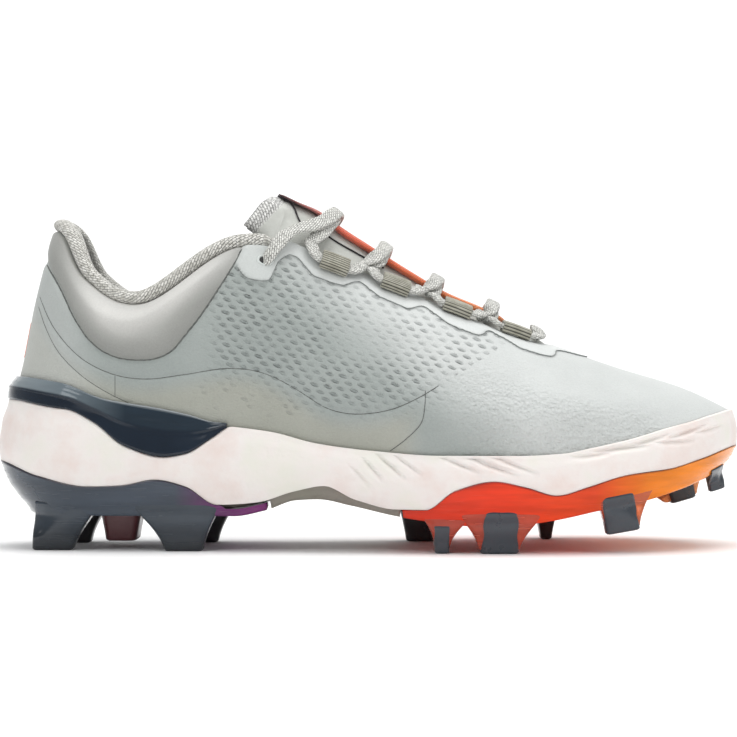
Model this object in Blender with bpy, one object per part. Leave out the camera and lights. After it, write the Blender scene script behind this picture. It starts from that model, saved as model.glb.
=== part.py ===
"""A right baseball cleat, standing on its studs: toe at +X, outer side at -Y, +Z up, in metres.

The origin is on the floor under the middle of the shoe. Every piece is worked out from the outline of the
sole, the lines of heights along it, and three rings of the upper, each a short table of shares of named sizes.
"""

import math
from typing import NamedTuple

import bmesh
import bpy
import numpy as np
from mathutils import Matrix, Vector

# Size of the whole shoe
SHOE_LENGTH = 0.300
BALL_WIDTH = 0.106
WAIST_WIDTH = 0.074
HEEL_WIDTH = 0.073
STUD_HEIGHT = 0.014  # floor to the flat of the heel plate
SOLE_DEPTH = 0.045  # flat of the heel plate to the top of the sole at the heel
HEEL_HEIGHT = 0.098  # footbed to the top of the heel tab
INSTEP_HEIGHT = 0.085  # footbed to the throat's edge at the instep
VAMP_HEIGHT = 0.055  # footbed to the end of the throat
TOE_HEIGHT = 0.030  # footbed to the top of the toe box

# Walls and clearances
CLEARANCE = 0.0003
UPPER_WALL = 0.0022
COLLAR_WALL = 0.0075
EYESTAY_STEP = 0.0006
COLLAR_BULGE = 0.0014
BINDING_DIAMETER = 0.0050
LIP_WALL = 0.0018
SOLE_FLARE = 0.0060  # how far the side of the sole tucks in at its foot
HEEL_FLARE = 0.0124
LASTING_TURN = 0.0070
INSOLE_THICKNESS = 0.0035
PLATE_FLOOR = 0.0030
PLATE_WALL = 0.0020
PLATE_END_GAP = 0.0016
CLIP_WALL = 0.0022
TONGUE_THICKNESS = 0.0052
TONGUE_LAP = 0.012
STRIP_WIDTH = 0.013
STRIP_THICKNESS = 0.0009

# Bands along the top of the upper
COLLAR_DEPTH = 0.033
EYESTAY_WIDTH = 0.013

# Laces and their loops
LACE_WIDTH = 0.0050
LACE_THICKNESS = 0.0014
LOOP_LENGTH = 0.0115
LOOP_WIDTH = 0.0068
LOOP_WALL = 0.0008
EYELET_LENGTH = 0.0044
EYELET_WIDTH = 0.0026

STATIONS = 44  # along each side of the shoe
LOOP_ROWS = 20  # rows of a closed ring: eleven along each side, the two tips shared


class OutlineRow(NamedTuple):
    """A point pair of the sole's outline: x in shoe lengths, the sides in shares of the row's own width."""

    x: float
    lateral: float
    medial: float
    width: float


class RingRow(NamedTuple):
    """A point pair of a ring of the upper: z in shares of the row's own height, above the footbed."""

    x: float
    z: float
    lateral: float
    medial: float
    height: float
    width: float


class Stud(NamedTuple):
    """A stud: x and lengths in shares of SHOE_LENGTH, widths in shares of BALL_WIDTH.

    Its reach is its height in shares of STUD_HEIGHT, or 0 where it stands on the floor.
    """

    name: str
    x: float
    side: int
    foot_length: float
    top_length: float
    foot_width: float
    top_width: float
    reach: float


OUTLINE = (
    OutlineRow(-0.500, 0.00, 0.00, HEEL_WIDTH),
    OutlineRow(-0.479, 0.28, 0.26, HEEL_WIDTH),
    OutlineRow(-0.417, 0.46, 0.43, HEEL_WIDTH),
    OutlineRow(-0.317, 0.51, 0.48, HEEL_WIDTH),
    OutlineRow(-0.183, 0.53, 0.45, WAIST_WIDTH),
    OutlineRow(-0.033, 0.60, 0.45, WAIST_WIDTH),
    OutlineRow(0.117, 0.48, 0.41, BALL_WIDTH),
    OutlineRow(0.250, 0.49, 0.50, BALL_WIDTH),
    OutlineRow(0.373, 0.41, 0.48, BALL_WIDTH),
    OutlineRow(0.460, 0.23, 0.35, BALL_WIDTH),
    OutlineRow(0.500, -0.06, 0.06, BALL_WIDTH),
)

MID_RING = (
    RingRow(-0.468, 0.40, 0.00, 0.00, HEEL_HEIGHT, HEEL_WIDTH),
    RingRow(-0.448, 0.38, 0.25, 0.23, HEEL_HEIGHT, HEEL_WIDTH),
    RingRow(-0.393, 0.35, 0.41, 0.38, HEEL_HEIGHT, HEEL_WIDTH),
    RingRow(-0.310, 0.32, 0.46, 0.43, HEEL_HEIGHT, HEEL_WIDTH),
    RingRow(-0.180, 0.38, 0.49, 0.43, INSTEP_HEIGHT, WAIST_WIDTH),
    RingRow(-0.030, 0.39, 0.58, 0.46, INSTEP_HEIGHT, WAIST_WIDTH),
    RingRow(0.120, 0.52, 0.46, 0.42, VAMP_HEIGHT, BALL_WIDTH),
    RingRow(0.253, 0.54, 0.43, 0.46, VAMP_HEIGHT, BALL_WIDTH),
    RingRow(0.355, 0.97, 0.31, 0.40, TOE_HEIGHT, BALL_WIDTH),
    RingRow(0.415, 0.92, 0.14, 0.26, TOE_HEIGHT, BALL_WIDTH),
    RingRow(0.430, 0.90, -0.06, 0.06, TOE_HEIGHT, BALL_WIDTH),
)

HIGH_RING = (
    RingRow(-0.449, 0.69, 0.00, 0.00, HEEL_HEIGHT, HEEL_WIDTH),
    RingRow(-0.433, 0.69, 0.22, 0.21, HEEL_HEIGHT, HEEL_WIDTH),
    RingRow(-0.387, 0.63, 0.38, 0.36, HEEL_HEIGHT, HEEL_WIDTH),
    RingRow(-0.310, 0.54, 0.43, 0.40, HEEL_HEIGHT, HEEL_WIDTH),
    RingRow(-0.177, 0.72, 0.45, 0.41, INSTEP_HEIGHT, WAIST_WIDTH),
    RingRow(-0.020, 0.73, 0.46, 0.42, INSTEP_HEIGHT, WAIST_WIDTH),
    RingRow(0.127, 1.03, 0.29, 0.30, VAMP_HEIGHT, BALL_WIDTH),
    RingRow(0.237, 0.90, 0.25, 0.27, VAMP_HEIGHT, BALL_WIDTH),
    RingRow(0.312, 0.79, 0.16, 0.21, VAMP_HEIGHT, BALL_WIDTH),
    RingRow(0.334, 0.77, 0.06, 0.12, VAMP_HEIGHT, BALL_WIDTH),
    RingRow(0.338, 0.77, -0.03, 0.03, VAMP_HEIGHT, BALL_WIDTH),
)

EDGE_RING = (
    RingRow(-0.422, 1.00, 0.00, 0.00, HEEL_HEIGHT, HEEL_WIDTH),
    RingRow(-0.405, 0.97, 0.20, 0.18, HEEL_HEIGHT, HEEL_WIDTH),
    RingRow(-0.368, 0.79, 0.34, 0.32, HEEL_HEIGHT, HEEL_WIDTH),
    RingRow(-0.290, 0.69, 0.40, 0.37, HEEL_HEIGHT, HEEL_WIDTH),
    RingRow(-0.167, 1.09, 0.33, 0.31, INSTEP_HEIGHT, WAIST_WIDTH),
    RingRow(-0.033, 0.98, 0.21, 0.21, INSTEP_HEIGHT, WAIST_WIDTH),
    RingRow(0.093, 0.83, 0.16, 0.17, INSTEP_HEIGHT, WAIST_WIDTH),
    RingRow(0.183, 1.09, 0.10, 0.11, VAMP_HEIGHT, BALL_WIDTH),
    RingRow(0.227, 1.02, 0.07, 0.09, VAMP_HEIGHT, BALL_WIDTH),
    RingRow(0.242, 1.00, 0.02, 0.05, VAMP_HEIGHT, BALL_WIDTH),
    RingRow(0.245, 1.00, -0.014, 0.014, VAMP_HEIGHT, BALL_WIDTH),
)

# Lines of heights along the shoe: x in shoe lengths, height in shares of SOLE_DEPTH above the heel plate's flat
WELT_LINE = (
    (-0.50, 1.02), (-0.42, 0.95), (-0.35, 0.90), (-0.27, 0.84), (-0.19, 0.79), (-0.13, 0.74),
    (-0.07, 0.64), (0.00, 0.58), (0.09, 0.54), (0.19, 0.54), (0.25, 0.56), (0.29, 0.61),
    (0.34, 0.68), (0.39, 0.77), (0.43, 0.83), (0.46, 0.88), (0.50, 0.92),
)  # fmt: skip
CLIP_DIP = (
    (-0.50, 0.00), (-0.40, 0.00), (-0.36, 0.09), (-0.32, 0.26), (-0.275, 0.32), (-0.24, 0.27),
    (-0.205, 0.11), (-0.18, 0.00), (0.50, 0.00),
)  # fmt: skip
WAVE_LINE = (
    (-0.50, 0.47), (-0.44, 0.35), (-0.37, 0.26), (-0.325, 0.27), (-0.28, 0.32), (-0.24, 0.26),
    (-0.20, 0.10), (-0.15, 0.12), (-0.10, 0.22), (-0.06, 0.27), (-0.02, 0.15), (0.03, 0.07),
    (0.07, 0.07), (0.11, 0.24), (0.16, 0.32), (0.20, 0.27), (0.24, 0.20), (0.28, 0.27),
    (0.33, 0.37), (0.39, 0.42), (0.43, 0.49), (0.50, 0.60),
)  # fmt: skip
UNDER_LINE = (
    (-0.50, 0.00), (-0.18, 0.00), (-0.14, 0.05), (-0.10, 0.14), (-0.07, 0.15), (-0.03, 0.10),
    (0.03, 0.01), (0.07, -0.03), (0.13, -0.07), (0.19, -0.06), (0.24, -0.02), (0.30, 0.06),
    (0.36, 0.13), (0.43, 0.25), (0.46, 0.31), (0.50, 0.38),
)  # fmt: skip
FOOTBED_LINE = (
    (-0.50, 0.47), (-0.30, 0.47), (-0.17, 0.43), (0.00, 0.33), (0.13, 0.27), (0.20, 0.26),
    (0.30, 0.31), (0.40, 0.44), (0.50, 0.62),
)  # fmt: skip
CLIP_LINE = (
    (-0.50, 0.20), (-0.43, 0.21), (-0.35, 0.12), (-0.28, 0.10), (-0.24, 0.07), (-0.19, 0.01), (0.50, 0.00),
)  # fmt: skip

# How far the side of the sole tucks in, by height between its underside and its welt line
SIDE_TUCK = ((0.00, 1.00), (0.17, 0.56), (0.28, 0.29), (0.44, 0.07), (0.58, 0.00), (0.80, 0.08), (1.00, 0.30))
# Depth of the band along the top of the upper, by the x of its edge
COLLAR_BAND = (
    (-0.50, 0.60), (-0.42, 0.62), (-0.40, 0.75), (-0.37, 1.00), (-0.31, 0.85), (-0.25, 0.75),
    (-0.20, 0.42), (-0.17, 0.32), (-0.13, 0.39), (0.50, 0.39),
)  # fmt: skip

PLATE_TAIL = -0.190 * SHOE_LENGTH  # where the heel plate's side wall has run out
HEEL_PLATE_END = -0.137 * SHOE_LENGTH
FORE_PLATE_START = 0.040 * SHOE_LENGTH
CLIP_TIP = -0.187 * SHOE_LENGTH
BINDING_END = -0.120 * SHOE_LENGTH
EYELET_X = -0.136 * SHOE_LENGTH
LOOP_XS = tuple(share * SHOE_LENGTH for share in (-0.052, 0.026, 0.105, 0.180))

# The crown of the tongue, against the row of the throat's edge that it lies between
TONGUE_CROWN = (
    (4.30, -0.072, 1.250), (4.70, -0.040, 1.160), (5.00, -0.010, 1.090), (5.50, 0.043, 0.970),
    (6.00, 0.100, 0.850), (6.50, 0.147, 0.780), (7.00, 0.185, 0.716), (8.00, 0.220, 0.660),
    (9.00, 0.235, 0.630), (10.0, 0.241, 0.610),
)  # fmt: skip
# Its free end: crown, then side, as x, height, side x, side height, half width
TONGUE_TOP = (
    (-0.104, 1.300, -0.148, 1.130, 0.20),
    (-0.134, 1.350, -0.166, 1.190, 0.20),
)

STUDS = (
    Stud("stud_heel_rear_lateral", -0.414, -1, 0.038, 0.072, 0.080, 0.120, 0.0),
    Stud("stud_heel_rear_medial", -0.402, 1, 0.036, 0.080, 0.080, 0.120, 0.0),
    Stud("stud_heel_front_lateral", -0.245, -1, 0.046, 0.090, 0.080, 0.120, 0.0),
    Stud("stud_heel_front_medial", -0.232, 1, 0.046, 0.080, 0.080, 0.120, 0.0),
    Stud("heel_bar", -0.333, 0, 0.042, 0.056, 0.200, 0.240, 0.8),
    Stud("stud_ball_rear_lateral", 0.094, -1, 0.018, 0.044, 0.090, 0.130, 0.0),
    Stud("stud_ball_rear_medial", 0.072, 1, 0.036, 0.050, 0.090, 0.120, 0.0),
    Stud("stud_ball_lateral", 0.168, -1, 0.050, 0.078, 0.090, 0.140, 0.0),
    Stud("stud_ball_medial", 0.248, 1, 0.016, 0.036, 0.090, 0.130, 0.0),
    Stud("stud_toe_lateral", 0.324, -1, 0.044, 0.060, 0.085, 0.120, 0.70),
    Stud("stud_toe_medial", 0.427, 1, 0.036, 0.050, 0.080, 0.110, 0.68),
    Stud("stud_toe_front", 0.458, -1, 0.018, 0.026, 0.060, 0.080, 0.50),
)


def smooth_step(value):
    """0 below 0, 1 above 1, and a soft S between."""
    value = min(max(value, 0.0), 1.0)
    return value * value * (3 - 2 * value)


def line(table, x, scale=1.0):
    """Reads a table at x with a soft curve that never swings past its rows."""
    xs = [row[0] for row in table]
    ys = [row[1] for row in table]
    if x <= xs[0]:
        return ys[0] * scale
    if x >= xs[-1]:
        return ys[-1] * scale
    index = int(np.searchsorted(xs, x)) - 1
    index = min(max(index, 0), len(xs) - 2)

    def slope(i):
        if i in (0, len(xs) - 1):
            return 0.0
        before = (ys[i] - ys[i - 1]) / (xs[i] - xs[i - 1])
        after = (ys[i + 1] - ys[i]) / (xs[i + 1] - xs[i])
        return 0.0 if before * after <= 0 else 2 * before * after / (before + after)

    span = xs[index + 1] - xs[index]
    t = (x - xs[index]) / span
    rise = ys[index + 1] - ys[index]
    start, end = slope(index) * span, slope(index + 1) * span
    value = ys[index] + t * start + t * t * (3 * rise - 2 * start - end) + t**3 * (start + end - 2 * rise)
    return value * scale


def height(table, x):
    """The z of one of the lines of heights at x."""
    return STUD_HEIGHT + line(table, x / SHOE_LENGTH, SOLE_DEPTH)


def welt(x):
    return height(WELT_LINE, x)


def rim(x):
    """Top of the midsole's lip: the welt line, dipped where the heel clip sits."""
    return welt(x) - line(CLIP_DIP, x / SHOE_LENGTH, SOLE_DEPTH)


def under(x):
    return height(UNDER_LINE, x)


def footbed(x):
    return height(FOOTBED_LINE, x)


def ring_points(rows):
    """The closed ring of control points of one table, heel tip first, then the outer side."""
    points = []
    for side, order in ((-1, rows), (1, rows[-2:0:-1])):
        for row in order:
            share = row.lateral if side < 0 else row.medial
            x = row.x * SHOE_LENGTH
            z = footbed(x) + row.z * row.height if hasattr(row, "z") else 0.0
            points.append((x, side * share * row.width, z))
    return np.array(points)


def ring_at(points, station):
    """A point of a closed ring: station 0 is the heel tip, 10 the toe tip, 10 to 20 the inner side."""
    index = math.floor(station)
    t = station - index
    before, start, end, after = (points[(index + k) % LOOP_ROWS] for k in (-1, 0, 1, 2))
    return 0.5 * (
        2 * start
        + (end - before) * t
        + (2 * before - 5 * start + 4 * end - after) * t * t
        + (3 * start - before - 3 * end + after) * t**3
    )


OUTLINE_POINTS = ring_points(OUTLINE)
RINGS = tuple(ring_points(table) for table in (MID_RING, HIGH_RING, EDGE_RING))
EDGE_POINTS = RINGS[2]


def row_stations():
    """Stations from heel tip to toe tip, evenly spaced along the outline."""
    fine = np.linspace(0, LOOP_ROWS / 2, 801)
    points = np.array([ring_at(OUTLINE_POINTS, s) for s in fine])
    run = np.concatenate([[0], np.cumsum(np.linalg.norm(np.diff(points, axis=0), axis=1))])
    return [float(s) for s in np.interp(np.linspace(0, run[-1], STATIONS + 1), run, fine)]


ROWS = row_stations()


def station_at(points, x):
    """The outer side's station where a ring reaches x; its twin on the inner side is LOOP_ROWS less this."""
    low, high = 0.0, LOOP_ROWS / 2
    for _ in range(40):
        middle = (low + high) / 2
        if ring_at(points, middle)[0] < x:
            low = middle
        else:
            high = middle
    return (low + high) / 2


def outward(station):
    """The outline's level outward direction at a station."""
    ahead = ring_at(OUTLINE_POINTS, station + 0.01) - ring_at(OUTLINE_POINTS, station - 0.01)
    ahead /= np.linalg.norm(ahead)
    return np.array([ahead[1], -ahead[0], 0.0])


def flare(x):
    """How far the side tucks in at its foot: most at the back of the heel."""
    back = smooth_step((-0.38 * SHOE_LENGTH - x) / (0.12 * SHOE_LENGTH))
    return SOLE_FLARE + (HEEL_FLARE - SOLE_FLARE) * back


def side_inset(x, z):
    """How far inside the outline the side of the sole is at this height."""
    share = (z - under(x)) / (welt(x) - under(x))
    return line(SIDE_TUCK, share, flare(x))


def inside(station, inset, z):
    """A point this far inside the outline, at height z."""
    point = ring_at(OUTLINE_POINTS, station) - inset * outward(station)
    point[2] = z
    return point


def bedded(station, inset, rise):
    """A point this far inside the outline and this far above the footbed."""
    point = inside(station, inset, 0.0)
    point[2] = footbed(point[0]) + rise
    return point


def foot_inset(station):
    """How far inside the outline the upper's outer face meets the midsole's lip."""
    x = ring_at(OUTLINE_POINTS, station)[0]
    return side_inset(x, welt(x)) + LIP_WALL + CLEARANCE


def upper_foot(station):
    """The lowest point of the upper's outer face, and its point level with the welt line."""
    inset = foot_inset(station)
    low = bedded(station, inset + 0.4 * UPPER_WALL, CLEARANCE)
    return low, inside(station, inset, welt(ring_at(OUTLINE_POINTS, station)[0]))


def through(points, steps):
    """A soft curve through a few points, as a dense row of points."""
    points = np.array(points)
    gaps = np.sqrt(np.linalg.norm(np.diff(points, axis=0), axis=1))
    knots = np.concatenate([[0], np.cumsum(gaps)])
    chords = np.diff(points, axis=0) / gaps[:, None]
    slopes = np.empty_like(points)
    weight = gaps[1:, None] / (gaps[1:, None] + gaps[:-1, None])
    slopes[1:-1] = chords[:-1] * weight + chords[1:] * (1 - weight)
    slopes[0] = 1.5 * chords[0] - 0.5 * slopes[1]
    slopes[-1] = 1.5 * chords[-1] - 0.5 * slopes[-2]
    result = []
    for index, gap in enumerate(gaps):
        rise = points[index + 1] - points[index]
        start, end = slopes[index] * gap, slopes[index + 1] * gap
        for step in range(steps):
            t = step / steps
            result.append(points[index] + t * start + t * t * (3 * rise - 2 * start - end) + t**3 * (start + end - 2 * rise))
    result.append(points[-1])
    return np.array(result)


def along(points, distance):
    """The point at a distance along a dense row of points."""
    run = np.concatenate([[0], np.cumsum(np.linalg.norm(np.diff(points, axis=0), axis=1))])
    return np.array([np.interp(distance, run, points[:, axis]) for axis in range(3)])


def length_of(points):
    return float(np.sum(np.linalg.norm(np.diff(points, axis=0), axis=1)))


def outer_face_at(station, z):
    """The point of the upper's outer face at a height."""
    low, high = upper_foot(station)
    if z <= high[2]:
        return low + (high - low) * (z - low[2]) / (high[2] - low[2])
    curve = wall_curve(station)
    index = int(np.argmax(curve[:, 2] > z))
    share = (z - curve[index - 1][2]) / (curve[index][2] - curve[index - 1][2])
    return curve[index - 1] * (1 - share) + curve[index] * share


def wall_curve(station):
    """The upper's outer face above the welt line, from the sole to the top edge."""
    _, start = upper_foot(station)
    return through([start] + [ring_at(ring, station) for ring in RINGS], 16)


def edge_x(station):
    return ring_at(EDGE_POINTS, station)[0]


def band_depth(station):
    return line(COLLAR_BAND, edge_x(station) / SHOE_LENGTH, COLLAR_DEPTH)


def collar_share(station):
    """1 along the padded collar, 0 along the throat."""
    return smooth_step((-0.13 * SHOE_LENGTH - edge_x(station)) / (0.06 * SHOE_LENGTH))


def binding_share(station):
    """1 where the binding tops the upper, 0 in front of its end."""
    return smooth_step((BINDING_END - edge_x(station)) / (0.010 * SHOE_LENGTH))


def top_wall(station):
    """Thickness of the wall at its top edge."""
    return UPPER_WALL + (COLLAR_WALL - UPPER_WALL) * collar_share(station)


LOWER_LEVELS = 6
BAND_LEVELS = 3
TOP_ROUND = 0.25  # height of the rounded top edge, in walls


def top_trim(station):
    """How far below the ring of the edge the wall's own outer face ends."""
    return TOP_ROUND * top_wall(station) + (BINDING_DIAMETER + CLEARANCE) * binding_share(station)


def wall_levels(station):
    """Distances along the wall curve of its levels, how far each stands out, and the wall's thickness there."""
    curve = wall_curve(station)
    top = length_of(curve) - top_trim(station)
    seam = min(length_of(curve) - band_depth(station), top - 4 * EYESTAY_STEP)
    fade = 0.3 * COLLAR_DEPTH
    levels = []
    for step in range(LOWER_LEVELS + 1):
        levels.append((seam * (step / LOWER_LEVELS) ** 1.6, 0.0))
    for step in range(BAND_LEVELS + 1):
        share = step / BAND_LEVELS
        distance = seam + 1.5 * EYESTAY_STEP + (top - seam - 1.5 * EYESTAY_STEP) * share
        bulge = COLLAR_BULGE * math.sin(math.pi * share) * collar_share(station)
        levels.append((distance, EYESTAY_STEP + bulge))
    full = top_wall(station)
    walls = [
        UPPER_WALL + (full - UPPER_WALL) * smooth_step((distance - seam + fade) / fade) for distance, _ in levels
    ]
    return curve, levels, walls


def normals_of(grid):
    """Outward directions of a closed ring of wall curves."""
    around = np.roll(grid, -1, axis=0) - np.roll(grid, 1, axis=0)
    upward = np.empty_like(grid)
    upward[:, 1:-1] = grid[:, 2:] - grid[:, :-2]
    upward[:, 0] = grid[:, 1] - grid[:, 0]
    upward[:, -1] = grid[:, -1] - grid[:, -2]
    normals = np.cross(around, upward)
    normals /= np.linalg.norm(normals, axis=2)[:, :, None]
    upward /= np.linalg.norm(upward, axis=2)[:, :, None]
    return normals, upward


def all_stations():
    """Every station around the shoe, once."""
    return ROWS + [LOOP_ROWS - s for s in ROWS[-2:0:-1]]


class Wall:
    """The upper's wall, worked out once: its outer levels, directions and thicknesses at every station."""

    def __init__(self):
        self.stations = all_stations()
        grid, stands, walls = [], [], []
        for station in self.stations:
            curve, levels, thicknesses = wall_levels(station)
            grid.append([along(curve, distance) for distance, _ in levels])
            stands.append([stand for _, stand in levels])
            walls.append(thicknesses)
        self.grid = np.array(grid)
        self.normals, self.upward = normals_of(self.grid)
        self.outer = self.grid + self.normals * np.array(stands)[:, :, None]
        self.walls = np.array(walls)
        self.inner = self.grid - self.normals * self.walls[:, :, None]

    def at(self, values, station):
        """Reads any of the wall's arrays between stations."""
        station = station % LOOP_ROWS
        stations = np.array(self.stations)
        after = int(np.searchsorted(stations, station, side="right"))
        before = after - 1
        if after == len(stations):
            start, end = stations[before], LOOP_ROWS
            after = 0
        else:
            start, end = stations[before], stations[after]
        share = (station - start) / (end - start)
        return values[before] * (1 - share) + values[after] * share


WALL = Wall()


def new_material(name, colour, roughness, metallic=0.0):
    material = bpy.data.materials.new(name)
    material.use_nodes = True
    shader = material.node_tree.nodes["Principled BSDF"]
    shader.inputs["Base Color"].default_value = (*colour, 1.0)
    shader.inputs["Roughness"].default_value = roughness
    shader.inputs["Metallic"].default_value = metallic
    return material


def add_object(name, mesh, material, collection):
    mesh.materials.append(material)
    piece = bpy.data.objects.new(name, mesh)
    collection.objects.link(piece)
    return piece


def finish_mesh(name, shape, sharp=40):
    """Welds, faces and shades a bmesh, and returns its mesh."""
    bmesh.ops.remove_doubles(shape, verts=shape.verts, dist=1e-6)
    bmesh.ops.dissolve_degenerate(shape, edges=shape.edges, dist=1e-6)
    bmesh.ops.triangulate(shape, faces=shape.faces, ngon_method="EAR_CLIP")
    bmesh.ops.recalc_face_normals(shape, faces=shape.faces)
    mesh = bpy.data.meshes.new(name)
    shape.to_mesh(mesh)
    shape.free()
    mesh.shade_smooth()
    mesh.set_sharp_from_angle(angle=math.radians(sharp))
    return mesh


def loft(name, sections, closed=False, capped=True, sharp=40):
    """A closed skin through sections that all have the same number of points, each a closed loop."""
    shape = bmesh.new()
    rings = [[shape.verts.new(Vector(point)) for point in section] for section in sections]
    pairs = list(zip(rings, rings[1:]))
    if closed:
        pairs.append((rings[-1], rings[0]))
    for first, second in pairs:
        for index in range(len(first)):
            after = (index + 1) % len(first)
            shape.faces.new((first[index], first[after], second[after], second[index]))
    if capped and not closed:
        shape.faces.new(rings[0])
        shape.faces.new(list(reversed(rings[-1])))
    return finish_mesh(name, shape, sharp)


def make_upper(collection, cutters):
    """The hollow upper: wall, rounded top edge, inner face and the turned-in foot of the wall."""
    sections = []
    for index, station in enumerate(WALL.stations):
        low, _ = upper_foot(station)
        outer = [low] + list(WALL.outer[index])
        wall = WALL.walls[index][-1] + EYESTAY_STEP
        normal, upward = WALL.normals[index][-1], WALL.upward[index][-1]
        top = [
            WALL.outer[index][-1]
            + normal * (math.cos(angle) - 1) * wall / 2
            + upward * math.sin(angle) * TOP_ROUND * wall
            for angle in (math.pi / 4, math.pi / 2, 3 * math.pi / 4)
        ]
        inner = [WALL.inner[index][level] for level in (10, 8, 6, 5, 4, 3, 2, 1, 0)]
        inset = foot_inset(station) + 0.4 * UPPER_WALL
        turn = [
            bedded(station, inset + UPPER_WALL, CLEARANCE + UPPER_WALL),
            bedded(station, inset + LASTING_TURN, CLEARANCE + UPPER_WALL),
            bedded(station, inset + LASTING_TURN, CLEARANCE),
        ]
        sections.append(outer + top + inner + turn)
    mesh = loft("upper", sections, closed=True, sharp=50)
    upper = add_object("upper", mesh, new_material("upper", (0.58, 0.63, 0.60), 0.75), collection)
    for side in (-1, 1):
        cut_eyelet(upper, side, cutters)
    return upper


def on_band(x, side, depth):
    """A place on the upper's band: its point, the direction along the edge, and outward, at x on the edge."""
    station = station_at(EDGE_POINTS, x)
    if side > 0:
        station = LOOP_ROWS - station

    def place(s):
        levels = WALL.at(WALL.outer, s)[-BAND_LEVELS - 1 :]
        return along(levels[::-1], depth)

    point = place(station)
    ahead = Vector(place(station + 0.05) - place(station - 0.05)).normalized()
    if side > 0:
        ahead = -ahead
    normal = Vector(WALL.at(WALL.normals, station)[-2])
    normal = (normal - normal.dot(ahead) * ahead).normalized()
    return Vector(point), ahead, normal


def frame_matrix(point, ahead, normal):
    across = normal.cross(ahead)
    rotation = Matrix((ahead, across, normal)).transposed()
    return Matrix.Translation(point) @ rotation.to_4x4()


def cut_eyelet(upper, side, cutters):
    point, ahead, normal = on_band(EYELET_X, side, 0.45 * EYESTAY_WIDTH)
    shape = bmesh.new()
    bmesh.ops.create_cone(
        shape, cap_ends=True, segments=10, radius1=EYELET_WIDTH / 2, radius2=EYELET_WIDTH / 2, depth=6 * COLLAR_WALL
    )
    bmesh.ops.scale(shape, vec=(EYELET_LENGTH / EYELET_WIDTH, 1, 1), verts=shape.verts)
    shape.transform(frame_matrix(point, ahead, normal))
    mesh = bpy.data.meshes.new("eyelet_cutter")
    shape.to_mesh(mesh)
    shape.free()
    cutter = bpy.data.objects.new(f"eyelet_cutter_{side:+d}", mesh)
    cutter.hide_render = True
    cutter.display_type = "WIRE"
    cutters.objects.link(cutter)
    cut = upper.modifiers.new("eyelet", "BOOLEAN")
    cut.operation = "DIFFERENCE"
    cut.object = cutter


def sole_sections(half, rows):
    """Closed sections across the shoe: a half profile for each side, from the top centre to the bottom centre."""
    sections = []
    for station in rows:
        outer, inner = half(station), half(LOOP_ROWS - station)
        top = (outer[0] + inner[0]) / 2
        bottom = (outer[-1] + inner[-1]) / 2
        sections.append([top] + outer + [bottom] + inner[::-1])
    return sections


def rows_between(low, high):
    """The stations between two x, with one exactly at each end that is not a tip."""
    first = station_at(OUTLINE_POINTS, low) if low > -0.499 * SHOE_LENGTH else 0.0
    last = station_at(OUTLINE_POINTS, high) if high < 0.499 * SHOE_LENGTH else LOOP_ROWS / 2
    middle = [s for s in ROWS if first + 0.02 < s < last - 0.02]
    return [first] + middle + [last]


def plated(x):
    """Whether a plate lies under the midsole at x."""
    reach = 0.85 * PLATE_END_GAP
    return x < HEEL_PLATE_END + reach or x > FORE_PLATE_START - reach


def wave(x):
    return max(height(WAVE_LINE, x), under(x) + 0.6 * PLATE_FLOOR)


def plate_top(x):
    """Top of a plate's side wall, which has run out on the heel plate's tail."""
    if x > 0:
        return max(wave(x), under(x) + PLATE_FLOOR)
    tail = under(x) + PLATE_FLOOR + max(0.0, PLATE_TAIL - x)
    return min(max(wave(x), under(x) + PLATE_FLOOR), tail)


def tray_corner(x):
    """Inset and height of the inner corner of a plate's tray."""
    z = under(x) + PLATE_FLOOR
    return side_inset(x, under(x)) + PLATE_WALL, z


def midsole_half(station):
    """One side of the midsole's section, from the edge of the footbed round to the edge of its underside."""
    x = ring_at(OUTLINE_POINTS, station)[0]
    low, high = upper_foot(station)
    direction = outward(station)
    lip = rim(x)
    share = (lip - low[2]) / (high[2] - low[2])
    bed = low + direction * CLEARANCE
    bed[2] = footbed(bed[0])
    lip_inner = low + (high - low) * share + direction * CLEARANCE
    edge = max(plate_top(x) if plated(x) else wave(x), wave(x)) + CLEARANCE
    lip_outer = inside(station, side_inset(x, lip), lip)
    outside = [inside(station, side_inset(x, z), z) for z in np.linspace(lip, edge, 5)[1:]]
    corner_inset, corner_z = tray_corner(x)
    if not plated(x):
        corner_z = under(x)
        step = inside(station, side_inset(x, edge) + PLATE_WALL + CLEARANCE, edge)
        return [bed, lip_inner, lip_outer, *outside, step, inside(station, corner_inset + CLEARANCE, corner_z)]
    step = inside(station, side_inset(x, edge) + PLATE_WALL + CLEARANCE, edge)
    corner = inside(station, corner_inset + CLEARANCE, corner_z + CLEARANCE)
    return [bed, lip_inner, lip_outer, *outside, step, corner]


def make_midsole(collection):
    """The foam cup, with a step in its underside where each plate ends."""
    gap = PLATE_END_GAP
    steps = (
        HEEL_PLATE_END + 0.7 * gap,
        HEEL_PLATE_END + gap,
        FORE_PLATE_START - gap,
        FORE_PLATE_START - 0.7 * gap,
    )
    marks = [station_at(OUTLINE_POINTS, x) for x in steps]
    rows = [s for s in ROWS if all(abs(s - mark) > 0.03 for mark in marks)]
    rows = sorted(rows + marks)
    mesh = loft("midsole", sole_sections(midsole_half, rows), capped=False, sharp=35)
    return add_object("midsole", mesh, new_material("midsole", (0.88, 0.84, 0.81), 0.6), collection)


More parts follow.
